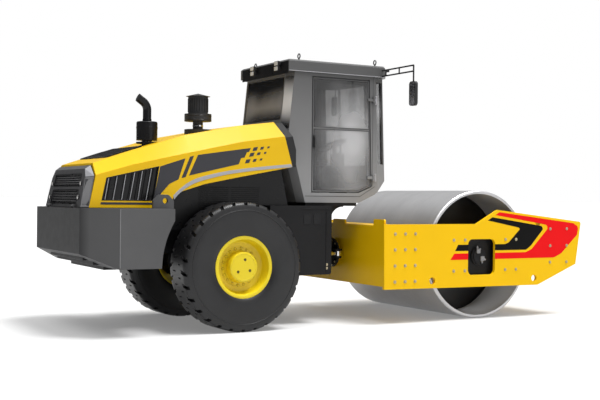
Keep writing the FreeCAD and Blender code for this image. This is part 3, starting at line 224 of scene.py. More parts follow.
def glass_with_painted_light(name, bright, dark, centre, reach, alpha, front_alpha=None):
    """Tinted glass whose film is lighter round a centre (x, z), over a reach (along x, along z): painted light on the
    glass.

    front_alpha, if given, is the film's strength ahead of the cab's middle."""
    mat, tree, bsdf = node_material(name)
    vector = coordinates(tree)
    source = add(tree, "ShaderNodeTexCoord")
    place = add(tree, "ShaderNodeMapping")
    place.inputs["Location"].default_value = (-centre[0] / reach[0], 0.0, -centre[1] / reach[1])
    place.inputs["Scale"].default_value = (1 / reach[0], 0.0, 1 / reach[1])
    tree.links.new(source.outputs["Object"], place.inputs["Vector"])
    length = add(tree, "ShaderNodeVectorMath", operation="LENGTH")
    tree.links.new(place.outputs["Vector"], length.inputs[0])
    wobble = add(tree, "ShaderNodeMath", operation="ADD")
    tree.links.new(length.outputs["Value"], wobble.inputs[0])
    tree.links.new(ramp(tree, noise(tree, vector, 1.6, 2.0), -0.15, 0.15, 0.3, 0.7), wobble.inputs[1])
    film = add(tree, "ShaderNodeMapRange", interpolation_type="SMOOTHSTEP")
    tree.links.new(wobble.outputs[0], film.inputs["Value"])
    tree.links.new(blend_colours(tree, film.outputs["Result"], bright, dark), bsdf.inputs["Base Color"])
    tree.links.new(ramp(tree, noise(tree, vector, 14.0, 4.0), 0.03, 0.08, 0.3, 0.8), bsdf.inputs["Roughness"])
    bsdf.inputs["Alpha"].default_value = alpha
    if front_alpha is not None:
        parts = add(tree, "ShaderNodeSeparateXYZ")
        tree.links.new(source.outputs["Object"], parts.inputs[0])
        tree.links.new(ramp(tree, parts.outputs["X"], alpha, front_alpha, -0.2, 0.2), bsdf.inputs["Alpha"])
    return mat


def woven(name, light, dark):
    mat, tree, bsdf = node_material(name)
    vector = coordinates(tree)
    a = add(tree, "ShaderNodeTexWave", wave_type="BANDS", bands_direction="DIAGONAL")
    a.inputs["Scale"].default_value = 260.0
    a.inputs["Distortion"].default_value = 1.5
    tree.links.new(vector, a.inputs["Vector"])
    tree.links.new(blend_colours(tree, a.outputs["Fac"], light, dark), bsdf.inputs["Base Color"])
    bsdf.inputs["Roughness"].default_value = 0.85
    bsdf.inputs["Sheen Weight"].default_value = 0.25
    bump(tree, bsdf, a.outputs["Fac"], 0.35, 0.0008)
    return mat


YELLOW = paint("yellow_gloss", (0.80, 0.49, 0.003), (0.76, 0.46, 0.003), 0.34, 0.05, shine=0.18)
FRAME_YELLOW = paint("frame_yellow_gloss", (0.92, 0.55, 0.0015), (0.88, 0.52, 0.0015), 0.38, 0.0, shine=0.15)
RIM_YELLOW = paint("rim_yellow_gloss", (0.80, 0.62, 0.012), (0.76, 0.58, 0.010), 0.36, 0.1)
RED = paint("red_stripe", (0.84, 0.006, 0.008), (0.80, 0.005, 0.007), 0.45, 0.0, 0.0, 0.1)
BLACK_STRIPE = paint("black_stripe", (0.002, 0.002, 0.002), (0.003, 0.003, 0.003), 0.45, 0.0, 0.0, 0.1)
DECAL_GREY = paint("grey_stripe", (0.050, 0.050, 0.056), (0.042, 0.042, 0.048), 0.4, 0.0, 0.0, 0.2)
# Counterweight grey with painted shade: its rear face is at half tone, rising to full tone by x -3.45.
WEIGHT_GREY = paint("counterweight_grey", (0.110, 0.110, 0.112), (0.098, 0.098, 0.100), 0.48, 0.0, 0.008, 0.06,
                    ("X", -3.535, -3.45, 0.5, 1.0))
# Cab grey with painted light and shade: 1.25 times the tone at z 1.7, down to 0.44 times at z 3.2.
CAB_GREY = paint("cab_grey", (0.215, 0.215, 0.217), (0.200, 0.200, 0.202), 0.42, 0.1, shine=0.3,
                 painted_shading=("Z", 1.7, 3.2, 1.25, 0.44))
LIGHT_GREY = paint("trim_light_grey", (0.40, 0.40, 0.42), (0.36, 0.36, 0.38), 0.4, 0.1, 0.002)
STRIP_GREY = paint("trim_grey", (0.24, 0.24, 0.245), (0.22, 0.22, 0.225), 0.4, 0.1, 0.002)
COVER_GREY = paint("cover_grey", (0.075, 0.075, 0.078), (0.065, 0.065, 0.068), 0.40, 0.1, 0.005)
BLACK = paint("black_semi_gloss", (0.008, 0.008, 0.009), (0.005, 0.005, 0.006), 0.30, 0.05, shine=0.22)
CHASSIS = paint("chassis_black", (0.012, 0.012, 0.013), (0.008, 0.008, 0.009), 0.5, 0.0, shine=0.2)
PLASTIC = plastic("moulded_black", (0.014, 0.014, 0.015), (0.009, 0.009, 0.010))
SEAL = plastic("seal_black", (0.010, 0.010, 0.011), (0.007, 0.007, 0.008), 0.7, 500.0, 0.1)
TYRE = rubber("tyre_rubber_dusty", (0.015, 0.015, 0.016), (0.009, 0.009, 0.010), 0.40)
STEEL = drum_steel("drum_steel_rolled", (0.60, 0.60, 0.61), (0.52, 0.52, 0.53), 0.34)
CHROME = bare_metal("chromed_rod", (0.75, 0.75, 0.77), (0.65, 0.65, 0.67), 0.12)
ZINC = bare_metal("zinc_bolts", (0.50, 0.44, 0.30), (0.42, 0.36, 0.24), 0.35, 0.6)
IRON = plastic("cast_iron", (0.060, 0.062, 0.064), (0.04, 0.042, 0.044), 0.6, 220.0, 0.3)
# Door glass: painted light, lighter round the pane's middle and darker towards its edges as painted shade.
DOOR_TINT_AND_PAINTED_LIGHT = ((0.62, 0.62, 0.63), (0.045, 0.045, 0.046), (0.10, 2.25), (0.64, 0.95))
GLASS = glass_with_painted_light("door_glass_tinted_painted_light", *DOOR_TINT_AND_PAINTED_LIGHT, 0.14)
FILM = glass_with_painted_light("door_glass_outer", *DOOR_TINT_AND_PAINTED_LIGHT, 0.50)
# Rear corner glass: a painted reflection, a light band round z 2.76 on near black.
CORNER_FILM = glass_with_painted_light("corner_glass_outer", (0.75, 0.75, 0.76), (0.012, 0.012, 0.013), (0.0, 2.76), (900.0, 0.36),
                           0.80)
# Cab glass: a painted reflection, a grey band round z 2.74 on near black; more see-through ahead of the cab's middle.
DARK_GLASS = glass_with_painted_light("cab_glass_dark", (0.30, 0.30, 0.31), (0.010, 0.010, 0.011), (0.0, 2.74), (900.0, 0.25),
                          0.86, 0.32)
LENS = plastic("lamp_lens_clear", (0.72, 0.71, 0.69), (0.56, 0.55, 0.52), 0.25, 120.0, 0.4)
FABRIC = woven("seat_weave", (0.035, 0.035, 0.04), (0.018, 0.018, 0.02))
# Dark olive for the rim's bolt rings and plugs: painted shade.
PAINTED_SHADE_OLIVE = paint("shaded_fastener", (0.10, 0.075, 0.01), (0.07, 0.05, 0.01), 0.5, 0.0, 0.0)
MIRROR = bare_metal("mirror_face", (0.8, 0.8, 0.82), (0.75, 0.75, 0.77), 0.05)

NODE_LOOKS = {
    "rear_frame": CHASSIS,
    "counterweight": WEIGHT_GREY,
    "fuel_tank": CHASSIS,
    "hydraulic_tank": CHASSIS,
    "engine_block": IRON,
    "radiator": BLACK,
    "engine_louvres": BLACK,
    "rear_axle": CHASSIS,
    "cab_platform": CHASSIS,
    "cab_frame": CAB_GREY,
    "cab_roof": CAB_GREY,
    "cab_glass": DARK_GLASS,
    "hood_seal": SEAL,
    "seat": FABRIC,
    "steering_console": PLASTIC,
    "mirrors": PLASTIC,
    "work_lamps": LENS,
    "lifting_lugs": COVER_GREY,
    "hood_shell": YELLOW,
    "hood_rear_cover": COVER_GREY,
    "hood_vents": BLACK,
    "exhaust_stack": BLACK,
    "air_precleaner": PLASTIC,
    "tail_lamps": LENS,
    "door_right": CAB_GREY,
    "door_left": CAB_GREY,
    "door_glass_right": GLASS,
    "door_glass_left": GLASS,
    "tyre_right": TYRE,
    "tyre_left": TYRE,
    "rim_right": RIM_YELLOW,
    "rim_left": RIM_YELLOW,
    "hitch_yoke": CHASSIS,
    "cylinder_barrel_right": BLACK,
    "cylinder_barrel_left": BLACK,
    "cylinder_rod_right": CHROME,
    "cylinder_rod_left": CHROME,
    "side_plates": FRAME_YELLOW,
    "rear_crossbeam": FRAME_YELLOW,
    "front_crossbeam": FRAME_YELLOW,
    "drum_carriers": CHASSIS,
    "rubber_buffers": SEAL,
    "drum_motors": CHASSIS,
    "scrapers": CHASSIS,
    "drum_shell": STEEL,
}
for node_name, look in NODE_LOOKS.items():
    mesh = NODES[node_name].data
    mesh.materials.clear()
    mesh.materials.append(look)


# Mesh helpers

def piece(name, bm, mat, body, smooth=None, bevel=0.0, segments=2, mats=()):
    """Object from a bmesh, riding on a body. smooth is the largest angle that is shaded smooth, in degrees."""
    mesh = bpy.data.meshes.new(name)
    bmesh.ops.recalc_face_normals(bm, faces=bm.faces)
    bm.to_mesh(mesh)
    bm.free()
    obj = bpy.data.objects.new(name, mesh)
    bpy.context.scene.collection.objects.link(obj)
    mesh.materials.append(mat)
    for extra in mats:
        mesh.materials.append(extra)
    if bevel:
        modifier = obj.modifiers.new("edges", "BEVEL")
        modifier.width = bevel
        modifier.segments = segments
        modifier.limit_method = "ANGLE"
        modifier.angle_limit = math.radians(32)
        modifier.harden_normals = False
    if smooth is not None:
        for polygon in mesh.polygons:
            polygon.use_smooth = True
        mesh.set_sharp_from_angle(angle=math.radians(smooth))
    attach(obj, body)
    return obj


def flipped(bm):
    """Copy of a bmesh, mirrored to the other side of the machine."""
    other = bm.copy()
    bmesh.ops.scale(other, vec=(1, -1, 1), verts=other.verts)
    bmesh.ops.reverse_faces(other, faces=other.faces)
    return other


def join(target, source):
    mesh = bpy.data.meshes.new("join")
    source.to_mesh(mesh)
    source.free()
    target.from_mesh(mesh)
    bpy.data.meshes.remove(mesh)


def both(bm):
    join(bm, flipped(bm))
    return bm


def spot(plane, a, b, height):
    """Point of a plane figure: plane xz is seen along Y, yz along X, xy along Z."""
    if plane == "xz":
        return Vector((a, height, b))
    if plane == "yz":
        return Vector((height, a, b))
    return Vector((a, b, height))


def rounded(points, corner_steps=5):
    """Outline whose points may carry a corner radius as a third value."""
    result = []
    count = len(points)
    for i, point in enumerate(points):
        here = Vector(point[:2])
        if len(point) < 3:
            result.append(here)
            continue
        before = Vector(points[i - 1][:2]) - here
        after = Vector(points[(i + 1) % count][:2]) - here
        half = before.angle(after) / 2
        reach = min(point[2] / math.tan(half), before.length * 0.49, after.length * 0.49)
        radius = reach * math.tan(half)
        bisector = (before.normalized() + after.normalized()).normalized()
        centre = here + bisector * (radius / math.sin(half))
        start = here + before.normalized() * reach - centre
        finish = here + after.normalized() * reach - centre
        turn = start.angle_signed(finish)
        for step in range(corner_steps + 1):
            angle = -turn * step / corner_steps
            result.append(centre + Matrix.Rotation(angle, 2) @ start)
    return result


def plate(bm, points, plane, low, high):
    """Prism of an outline between two heights."""
    outline = rounded(points)
    rings = []
    for height in (low, high):
        rings.append([bm.verts.new(spot(plane, p[0], p[1], height)) for p in outline])
    bm.faces.new(rings[0])
    bm.faces.new(list(reversed(rings[1])))
    count = len(outline)
    for i in range(count):
        j = (i + 1) % count
        bm.faces.new((rings[0][i], rings[0][j], rings[1][j], rings[1][i]))
    return bm


def frame_strip(bm, points, plane, low, high, width):
    """Flat band that follows a closed outline, width wide to its inside."""
    outer = rounded(points)
    count = len(outer)
    centre = sum(outer, Vector((0, 0))) / count
    inner = []
    for i in range(count):
        a, b, c = outer[i - 1], outer[i], outer[(i + 1) % count]
        n1 = Vector((-(b - a).y, (b - a).x)).normalized()
        n2 = Vector((-(c - b).y, (c - b).x)).normalized()
        n = (n1 + n2).normalized()
        shift = n * (width / max(0.3, n.dot(n1)))
        if (b + shift - centre).length > (b - shift - centre).length:
            shift = -shift
        inner.append(b + shift)
    rings = []
    for outline, height in ((outer, low), (inner, low), (inner, high), (outer, high)):
        rings.append([bm.verts.new(spot(plane, p[0], p[1], height)) for p in outline])
    for a in range(4):
        b = (a + 1) % 4
        for i in range(count):
            j = (i + 1) % count
            bm.faces.new((rings[a][i], rings[a][j], rings[b][j], rings[b][i]))
    return bm


def block(bm, lo, hi):
    return plate(bm, [(lo[0], lo[1]), (hi[0], lo[1]), (hi[0], hi[1]), (lo[0], hi[1])], "xy", lo[2], hi[2])


def lathe(bm, profile, centre, axis, steps=64, material=0):
    """Turns a profile of (radius, distance along the axis) about an axis. A radius of 0 closes the end."""
    axis = Vector(axis).normalized()
    side = axis.orthogonal().normalized()
    other = axis.cross(side)
    rings = []
    for radius, along in profile:
        base = Vector(centre) + axis * along
        if radius < 1e-6:
            rings.append([bm.verts.new(base)])
            continue
        ring = []
        for i in range(steps):
            angle = 2 * math.pi * i / steps
            ring.append(bm.verts.new(base + (side * math.cos(angle) + other * math.sin(angle)) * radius))
        rings.append(ring)
    for a, b in zip(rings, rings[1:]):
        for i in range(steps):
            j = (i + 1) % steps
            if len(a) == 1 and len(b) == 1:
                continue
            if len(a) == 1:
                face = bm.faces.new((a[0], b[i], b[j]))
            elif len(b) == 1:
                face = bm.faces.new((a[i], a[j], b[0]))
            else:
                face = bm.faces.new((a[i], a[j], b[j], b[i]))
            face.material_index = material
    return bm


def bolt(bm, place, axis, radius, height, sides=6):
    """Hexagon head on its washer."""
    profile = [(0, -0.002), (radius * 1.5, -0.002), (radius * 1.5, height * 0.22)]
    lathe(bm, profile + [(0, height * 0.22)], place, axis, 20)
    lathe(bm, [(0, height * 0.2), (radius, height * 0.2), (radius, height * 0.85), (radius * 0.82, height),
               (0, height)], place, axis, sides)
    return bm


def tube(bm, points, radius, sides=12, closed=False):
    """Round bar along a line of points."""
    points = [Vector(p) for p in points]
    count = len(points)
    rings = []
    normal = None
    for i, point in enumerate(points):
        if closed:
            direction = points[(i + 1) % count] - points[i - 1]
        else:
            direction = points[min(i + 1, count - 1)] - points[max(i - 1, 0)]
        direction.normalize()
        if normal is None:
            normal = direction.orthogonal().normalized()
        else:
            normal = (normal - direction * normal.dot(direction)).normalized()
        other = direction.cross(normal)
        rings.append([bm.verts.new(point + (normal * math.cos(a) + other * math.sin(a)) * radius)
                      for a in (2 * math.pi * k / sides for k in range(sides))])
    pairs = list(zip(rings, rings[1:]))
    if closed:
        pairs.append((rings[-1], rings[0]))
    else:
        bm.faces.new(rings[0])
        bm.faces.new(list(reversed(rings[-1])))
    for a, b in pairs:
        for k in range(sides):
            m = (k + 1) % sides
            bm.faces.new((a[k], a[m], b[m], b[k]))
    return bm


def smooth_path(points, steps=8):
    """Catmull-Rom line through the points."""
    points = [Vector(p) for p in points]
    padded = [points[0] * 2 - points[1]] + points + [points[-1] * 2 - points[-2]]
    result = []
    for p0, p1, p2, p3 in zip(padded, padded[1:], padded[2:], padded[3:]):
        for step in range(steps):
            t = step / steps
            result.append(0.5 * ((2 * p1) + (p2 - p0) * t + (2 * p0 - 5 * p1 + 4 * p2 - p3) * t * t
                                 + (3 * p1 - p0 - 3 * p2 + p3) * t ** 3))
    result.append(points[-1])
    return result


# Tyres

LUGS = 30
GROOVE_FLOOR = 0.727
# Section of half the tyre: depth from its face, radius; from the middle of the tread to the bead
TREAD_ROWS = ((0.250, 0.761), (0.2165, 0.761), (0.2145, 0.761), (0.1505, 0.761), (0.1485, 0.761), (0.132, 0.761),
              (0.129, 0.761), (0.100, 0.761), (0.0625, 0.761), (0.050, 0.7575), (0.036, 0.7475), (0.027, 0.737),
              (0.0205, 0.7268))
SIDE_ROWS = ((0.0165, 0.716), (0.012, 0.700), (0.0085, 0.680), (0.0075, 0.6725), (0.0030, 0.670), (0.0028, 0.664),
             (0.0065, 0.6615), (0.0036, 0.645), (0.0008, 0.615), (0.0, 0.590), (0.0005, 0.560), (0.003, 0.510),
             (0.0075, 0.465), (0.0135, 0.430), (0.0225, 0.400), (0.032, 0.380), (0.040, 0.3684))
# Columns of one lug's pitch in degrees from the middle of the groove: angle, lies in the groove, lies in the sipe
PITCH_COLUMNS = ((-1.52, 1, 0), (0.0, 1, 0), (1.52, 1, 0), (1.72, 0, 0), (3.5, 0, 0), (5.3, 0, 0), (5.5, 0, 1),
                 (6.5, 0, 1), (6.7, 0, 0), (8.5, 0, 0), (10.28, 0, 0))


def tyre_mesh():
    """Right tyre: rounded sidewalls and a tread whose two shoulders are notched between the lugs."""
    bm = bmesh.new()
    pitch = 360.0 / LUGS
    for face, inward, start in ((TYRE_OUT, -1, 6.0), (TYRE_IN, 1, 0.0)):
        rings = []
        for depth, radius in TREAD_ROWS + SIDE_ROWS:
            lean = -math.degrees(math.tan(math.radians(18)) * min(depth, 0.132) / TYRE_R)
            ring = []
            for i in range(LUGS):
                for angle, grooved, siped in PITCH_COLUMNS:
                    r = radius
                    if grooved and depth < 0.1305:
                        r = min(radius, GROOVE_FLOOR)
                    if siped and 0.15 < depth < 0.215:
                        r -= 0.012
                    a = math.radians(start + i * pitch + angle + lean)
                    y = -(face + inward * depth)
                    ring.append(bm.verts.new((AXLE.x + math.cos(a) * r, y, AXLE.z + math.sin(a) * r)))
            rings.append(ring)
        for a, b in zip(rings, rings[1:]):
            for i in range(len(a)):
                j = (i + 1) % len(a)
                bm.faces.new((a[i], a[j], b[j], b[i]))
    return bm


def rim_mesh():
    """Right wheel: rim with its flange, dished disc, raised hub and their bolts."""
    bm = bmesh.new()
    centre = Vector((AXLE.x, 0, AXLE.z))
    # Radius, depth from the tyre's face
    section = (
        (0.3677, 0.040), (0.3665, 0.0385), (0.362, 0.0375), (0.330, 0.0375), (0.3255, 0.040), (0.3235, 0.046),
        (0.3205, 0.075), (0.3125, 0.120), (0.304, 0.150), (0.296, 0.164), (0.285, 0.1695), (0.262, 0.170),
        (0.2365, 0.170), (0.2345, 0.1655), (0.197, 0.1655), (0.189, 0.167), (0.1800, 0.160), (0.178, 0.150),
        (0.178, 0.057), (0.1755, 0.050), (0.168, 0.0455), (0.150, 0.045), (0.148, 0.0465), (0.0, 0.0465),
    )
    profile = [(0.0, TYRE_OUT - 0.200), (0.346, TYRE_OUT - 0.200), (0.346, TYRE_IN + 0.040),
               (0.3677, TYRE_IN + 0.040)]
    profile += [(radius, TYRE_OUT - depth) for radius, depth in section]
    lathe(bm, profile, centre, (0, -1, 0), 128)
    for i in range(18):
        angle = 2 * math.pi * (i + 0.25) / 18
        place = centre + Vector((math.cos(angle) * 0.217, -(TYRE_OUT - 0.167), math.sin(angle) * 0.217))
        bolt(bm, place, (0, -1, 0), 0.010, 0.015)
    for i in range(16):
        angle = 2 * math.pi * (i + 0.5) / 16
        place = centre + Vector((math.cos(angle) * 0.160, -(TYRE_OUT - 0.0465), math.sin(angle) * 0.160))
        bolt(bm, place, (0, -1, 0), 0.0055, 0.0035)
    return bm


def rim_painted_shade():
    """Dark rings under the disc's bolts and the three plugs in the hub's face, in a dark olive that is painted shade.
    """
    bm = bmesh.new()
    centre = Vector((AXLE.x, 0, AXLE.z))
    for i in range(18):
        angle = 2 * math.pi * (i + 0.25) / 18
        place = centre + Vector((math.cos(angle) * 0.217, -(TYRE_OUT - 0.1655), math.sin(angle) * 0.217))
        lathe(bm, [(0.0, 0.0), (0.0172, 0.0), (0.0172, 0.0012), (0.0, 0.0012)], place, (0, -1, 0), 20)
    for angle in (80, 216, 333):
        a = math.radians(angle)
        place = centre + Vector((math.cos(a) * 0.090, -(TYRE_OUT - 0.047), math.sin(a) * 0.090))
        lathe(bm, [(0, 0), (0.017, 0), (0.017, 0.0018), (0, 0.0018)], place, (0, -1, 0), 24)
        lathe(bm, [(0, 0), (0.009, 0.001), (0.009, 0.006), (0, 0.006)], place, (0, -1, 0), 4)
    return bm


for side_name, mirror_it in (("right", False), ("left", True)):
    wheel = f"{side_name}_wheel"
    tyre = tyre_mesh()
    rim = rim_mesh()
    caps = rim_painted_shade()
    if mirror_it:
        tyre, rim, caps = flipped(tyre), flipped(rim), flipped(caps)
    tyre_obj = piece(f"tyre_tread_{side_name}", tyre, TYRE, wheel, smooth=38)
    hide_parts(f"tyre_{side_name}")
    rim_obj = piece(f"wheel_rim_{side_name}", rim, RIM_YELLOW, wheel, smooth=30)
    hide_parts(f"rim_{side_name}")
    piece(f"wheel_painted_shade_{side_name}", caps, PAINTED_SHADE_OLIVE, wheel, smooth=30)


# Side plates: stripes and bolts

def stripe(name, outline, band, tips, mat):
    """Stripe of both side plates. Its lower band, between two heights, stops at the service opening and goes on
    behind it to the stripe's two tips."""
    bm = bmesh.new()
    rear, front = SERVICE_OPENING
    low, high = band
    plate(bm, outline + [(front, low), (front, high)], "xz", -PLATE_Y - 0.0012, -PLATE_Y)
    plate(bm, [(tips[0], low), (rear, low), (rear, high), (tips[1], high)], "xz", -PLATE_Y - 0.0012, -PLATE_Y)
    piece(name, both(bm), mat, "front_frame")


def stripes():
    red = [
        (2.535, 0.876, 0.12), (2.640, 0.920, 0.05), (2.9271, 1.196, 0.05), (2.8986, 1.2431, 0.03), (2.8084, 1.2605),
        (2.0021, 1.3774), (2.070, 1.4156), (3.398, 1.2650), (3.489, 1.215, 0.05), (3.4665, 1.105, 0.03),
        (3.175, 0.850, 0.10), (3.041, 0.795, 0.10),
    ]
    stripe("stripe_red", red, (0.795, 0.876), (1.2607, 1.3247), RED)
    black = [
        (2.1714, 0.990, 0.03), (2.2372, 1.015, 0.03), (2.4316, 1.1933, 0.02), (2.4011, 1.2102, 0.01),
        (1.8733, 1.3064), (1.9537, 1.3482), (2.8088, 1.2304, 0.04), (2.8439, 1.191, 0.04), (2.6158, 0.958, 0.08),
        (2.540, 0.910, 0.08),
    ]
    stripe("stripe_black", black, (0.910, 0.990), (1.3366, 1.3855), BLACK_STRIPE)


def plate_bolts():
    bm = bmesh.new()
    grid = [(x, z) for x in (0.397, 0.552, 0.706) for z in (1.139, 0.940, 0.738, 0.537)]
    grid += [(x, z) for x in (1.317, 1.500, 2.178, 2.362) for z in (1.052, 0.650)]
    grid += [(x, z) for x in (2.970, 3.272) for z in (1.190, 0.958, 0.732)]
    for x, z in grid:
        bolt(bm, Vector((x, -PLATE_Y, z)), (0, -1, 0), 0.014, 0.014)
    piece("side_plate_bolts", both(bm), ZINC, "front_frame", smooth=30)


stripes()
plate_bolts()


# Hood: stripes, trim and vents

def hood_stripes():
    bm = bmesh.new()
    low, high = -HOOD_Y - 0.0015, -HOOD_Y
    plate(bm, [(-2.575, 1.925), (-2.263, 2.026), (-2.347, 1.780), (-2.460, 1.725, 0.05), (-2.558, 1.618, 0.05),
               (-2.648, 1.482), (-3.285, 1.482), (-3.280, 1.508), (-2.660, 1.508)], "xz", low, high)
    plate(bm, [(-2.205, 2.047), (-2.154, 2.060), (-2.258, 1.808), (-2.311, 1.794)], "xz", low, high)
    plate(bm, [(-2.103, 2.071), (-1.413, 2.174), (-1.435, 2.126), (-1.466, 2.121), (-1.496, 2.056), (-1.542, 2.049),
               (-1.572, 1.975), (-2.217, 1.826)], "xz", low, high)
    rows = ((-1.374, 2.181, 1.0), (-1.419, 2.112, 1.0), (-1.473, 2.031, 1.0))
    for x, z, _ in rows:
        for dx, dz, size in ((0.0, 0.0, 0.058), (0.098, 0.009, 0.044), (0.190, 0.018, 0.031)):
            x0, z0 = x + dx, z + dz
            slope = 0.165
            lean = size * 0.30
            tall = size * 0.78
            plate(bm, [(x0, z0), (x0 + size, z0 + size * slope), (x0 + size - lean, z0 + size * slope - tall),
                       (x0 - lean, z0 - tall)], "xz", low, high)
    piece("hood_stripes", both(bm), DECAL_GREY, "hood")


def hood_trim():
    """Light strip along the hood's lower edge over the wheel."""
    bm = bmesh.new()
    lower = [(-2.401, 1.545), (-2.330, 1.620), (-2.216, 1.702), (-2.071, 1.762), (-1.775, 1.838), (-1.471, 1.888),
             (-1.160, 1.925), (-0.838, 1.957)]
    upper = [(-2.409, 1.593), (-2.331, 1.667), (-2.216, 1.749), (-2.071, 1.810), (-1.775, 1.880), (-1.471, 1.9265),
             (-1.160, 1.962), (-0.860, 1.993)]
    edge_low = [p.xz for p in smooth_path([(x, 0, z) for x, z in lower], 4)]
    edge_high = [p.xz for p in smooth_path([(x, 0, z) for x, z in upper], 4)]
    points = [tuple(p) for p in edge_low] + [tuple(p) for p in reversed(edge_high)]
    plate(bm, points, "xz", -HOOD_Y - 0.003, -HOOD_Y + 0.001)
    piece("hood_edge_trim", both(bm), LIGHT_GREY, "hood")


hood_stripes()
hood_trim()


# Cab

DOOR_OUTLINE = ((-0.480, 3.110), (0.368, 3.110), (0.412, 1.735), (0.215, 1.655), (-0.480, 1.655))


def skin(bm, corners, lift):
    """Thin sheet over a flat or nearly flat four-sided face, lifted off it."""
    points = [Vector(c) for c in corners]
    normal = (points[2] - points[0]).cross(points[3] - points[1]).normalized()
    middle = sum(points, Vector()) / len(points)
    if normal.dot(middle - Vector((-3.0, 0.0, 1.5))) < 0:
        normal = -normal
    points = [p + (middle - p).normalized() * 0.004 for p in points]
    top = [bm.verts.new(p + normal * lift) for p in points]
    low = [bm.verts.new(p - normal * 0.001) for p in points]
    bm.faces.new(top)
    bm.faces.new(list(reversed(low)))
    for i in range(len(points)):
        j = (i + 1) % len(points)
        bm.faces.new((top[i], top[j], low[j], low[i]))


def inset(points, distance):
    """Convex outline moved in by a distance."""
    count = len(points)
    centre = sum((Vector(p) for p in points), Vector((0, 0))) / count
    lines = []
    for i in range(count):
        a, b = Vector(points[i]), Vector(points[(i + 1) % count])
        normal = Vector((-(b - a).y, (b - a).x)).normalized()
        if normal.dot(centre - a) < 0:
            normal = -normal
        lines.append((a + normal * distance, (b - a).normalized()))
    result = []
    for i in range(count):
        (p, d), (q, e) = lines[i - 1], lines[i]
        cross = d.x * e.y - d.y * e.x
        t = ((q - p).x * e.y - (q - p).y * e.x) / cross
        result.append(tuple(p + d * t))
    return result


def clipped(points, height, above):
    """Part of an outline above or below a height."""
    result = []
    for i, (x1, z1) in enumerate(points):
        x0, z0 = points[i - 1]
        if (z0 > height) != (z1 > height):
            t = (height - z0) / (z1 - z0)
            result.append((x0 + (x1 - x0) * t, height))
        if (z1 > height) == above:
            result.append((x1, z1))
    return result


def door_trim(side, mirror_it):
    """Outer glass over both panes with its black edge, the door's edge seal, its handle and its lock plate."""
    body = f"{side}_door"
    outer = inset(DOOR_OUTLINE, 0.020)
    seals, sheets = bmesh.new(), bmesh.new()
    for pane in (clipped(outer, 2.475, True), clipped(outer, 2.455, False)):
        plate(sheets, pane, "xz", -CAB_Y - 0.0020, -CAB_Y - 0.0008)
        frame_strip(seals, pane, "xz", -CAB_Y - 0.0026, -CAB_Y - 0.0002, 0.006)
    for pane in (clipped(inset(DOOR_OUTLINE, 0.052), 2.490, True), clipped(inset(DOOR_OUTLINE, 0.052), 2.440, False)):
        frame_strip(seals, pane, "xz", -CAB_Y + 0.001, -CAB_Y + 0.012, 0.008)
    frame_strip(seals, inset(DOOR_OUTLINE, 0.002), "xz", -CAB_Y - 0.0018, -CAB_Y + 0.010, 0.007)
    handle = bmesh.new()
    plate(handle, [(-0.468, 2.20, 0.01), (-0.440, 2.20, 0.01), (-0.440, 2.38, 0.01), (-0.468, 2.38, 0.01)], "xz",
          -CAB_Y - 0.006, -CAB_Y)
    tube(handle, smooth_path([(-0.454, -CAB_Y - 0.004, 2.225), (-0.454, -CAB_Y - 0.024, 2.235),
                              (-0.454, -CAB_Y - 0.026, 2.290), (-0.454, -CAB_Y - 0.024, 2.345),
                              (-0.454, -CAB_Y - 0.004, 2.355)], 4), 0.008, 10)
    plate(handle, [(-0.460, 2.10), (-0.395, 2.10), (-0.395, 2.185), (-0.460, 2.185)], "xz", -CAB_Y + 0.046,
          -CAB_Y + 0.072)
    if mirror_it:
        seals, sheets, handle = flipped(seals), flipped(sheets), flipped(handle)
    piece(f"door_seals_{side}", seals, SEAL, body, smooth=30)
    piece(f"door_outer_glass_{side}", sheets, FILM, body)
    piece(f"door_handle_{side}", handle, PLASTIC, body, smooth=40, bevel=0.0015)


for side_name, mirror_it in (("right", False), ("left", True)):
    door_trim(side_name, mirror_it)


def cab_outside():
    """Hinge feet, panel lines, black roof fascia, outer glass on the rear corners and the roof's lower flange."""
    feet = bmesh.new()
    for z in (1.850, 2.860):
        plate(feet, [(0.461, z - 0.055, 0.006), (0.488, z - 0.055, 0.006), (0.488, z + 0.055, 0.006),
                     (0.461, z + 0.055, 0.006)], "xz", -CAB_Y - 0.006, -CAB_Y)
        for dz in (-0.038, 0.038):
            bolt(feet, Vector((0.4745, -CAB_Y - 0.006, z + dz)), (0, -1, 0), 0.006, 0.005)
    piece("door_hinge_feet", both(feet), LIGHT_GREY, "rear_frame", smooth=30)
    lines = bmesh.new()
    plate(lines, [(-0.575, 1.606), (0.236, 1.606), (0.470, 1.738), (0.470, 1.733), (0.238, 1.600), (-0.575, 1.600)],
          "xz", -CAB_Y - 0.0012, -CAB_Y)
    plate(lines, [(0.428, 3.150), (0.432, 3.150), (0.430, 1.735), (0.426, 1.735)], "xz", -CAB_Y - 0.0012, -CAB_Y)
    piece("cab_panel_lines", both(lines), SEAL, "rear_frame")
    fascia = bmesh.new()
    plate(fascia, [(-0.668, 3.1285), (0.622, 3.1285), (0.622, 3.288), (-0.668, 3.288)], "yz", -0.8375, -0.8352)
    plate(fascia, [(0.671, 3.2685), (0.802, 3.2685), (0.802, 3.2925), (0.671, 3.2925)], "xz", -0.4825, 0.4825)
    piece("roof_black_fascia", fascia, BLACK, "rear_frame", bevel=0.001)
    corners = bmesh.new()
    facet = []
    for z in (2.445, 3.102):
        rear = -0.880 + (z - 2.394) * 0.080 / 0.766
        facet.append(((rear + 0.060, -0.660, z), (rear, -0.540, z)))
    (a0, b0), (a1, b1) = facet
    skin(corners, (a0, b0, b1, a1), 0.0015)
    skin(corners, [(x, -y, z) for x, y, z in (a0, b0, b1, a1)], 0.0015)
    piece("corner_outer_glass", corners, CORNER_FILM, "rear_frame")
    flange = bmesh.new()
    for y in (-0.676, 0.676):
        low, high = sorted((y, y * 1.004))
        plate(flange, [(-0.833, 3.163), (0.612, 3.163), (0.612, 3.171), (-0.833, 3.171)], "xz", low, high)
    piece("roof_lower_flange", flange, LIGHT_GREY, "rear_frame")


cab_outside()


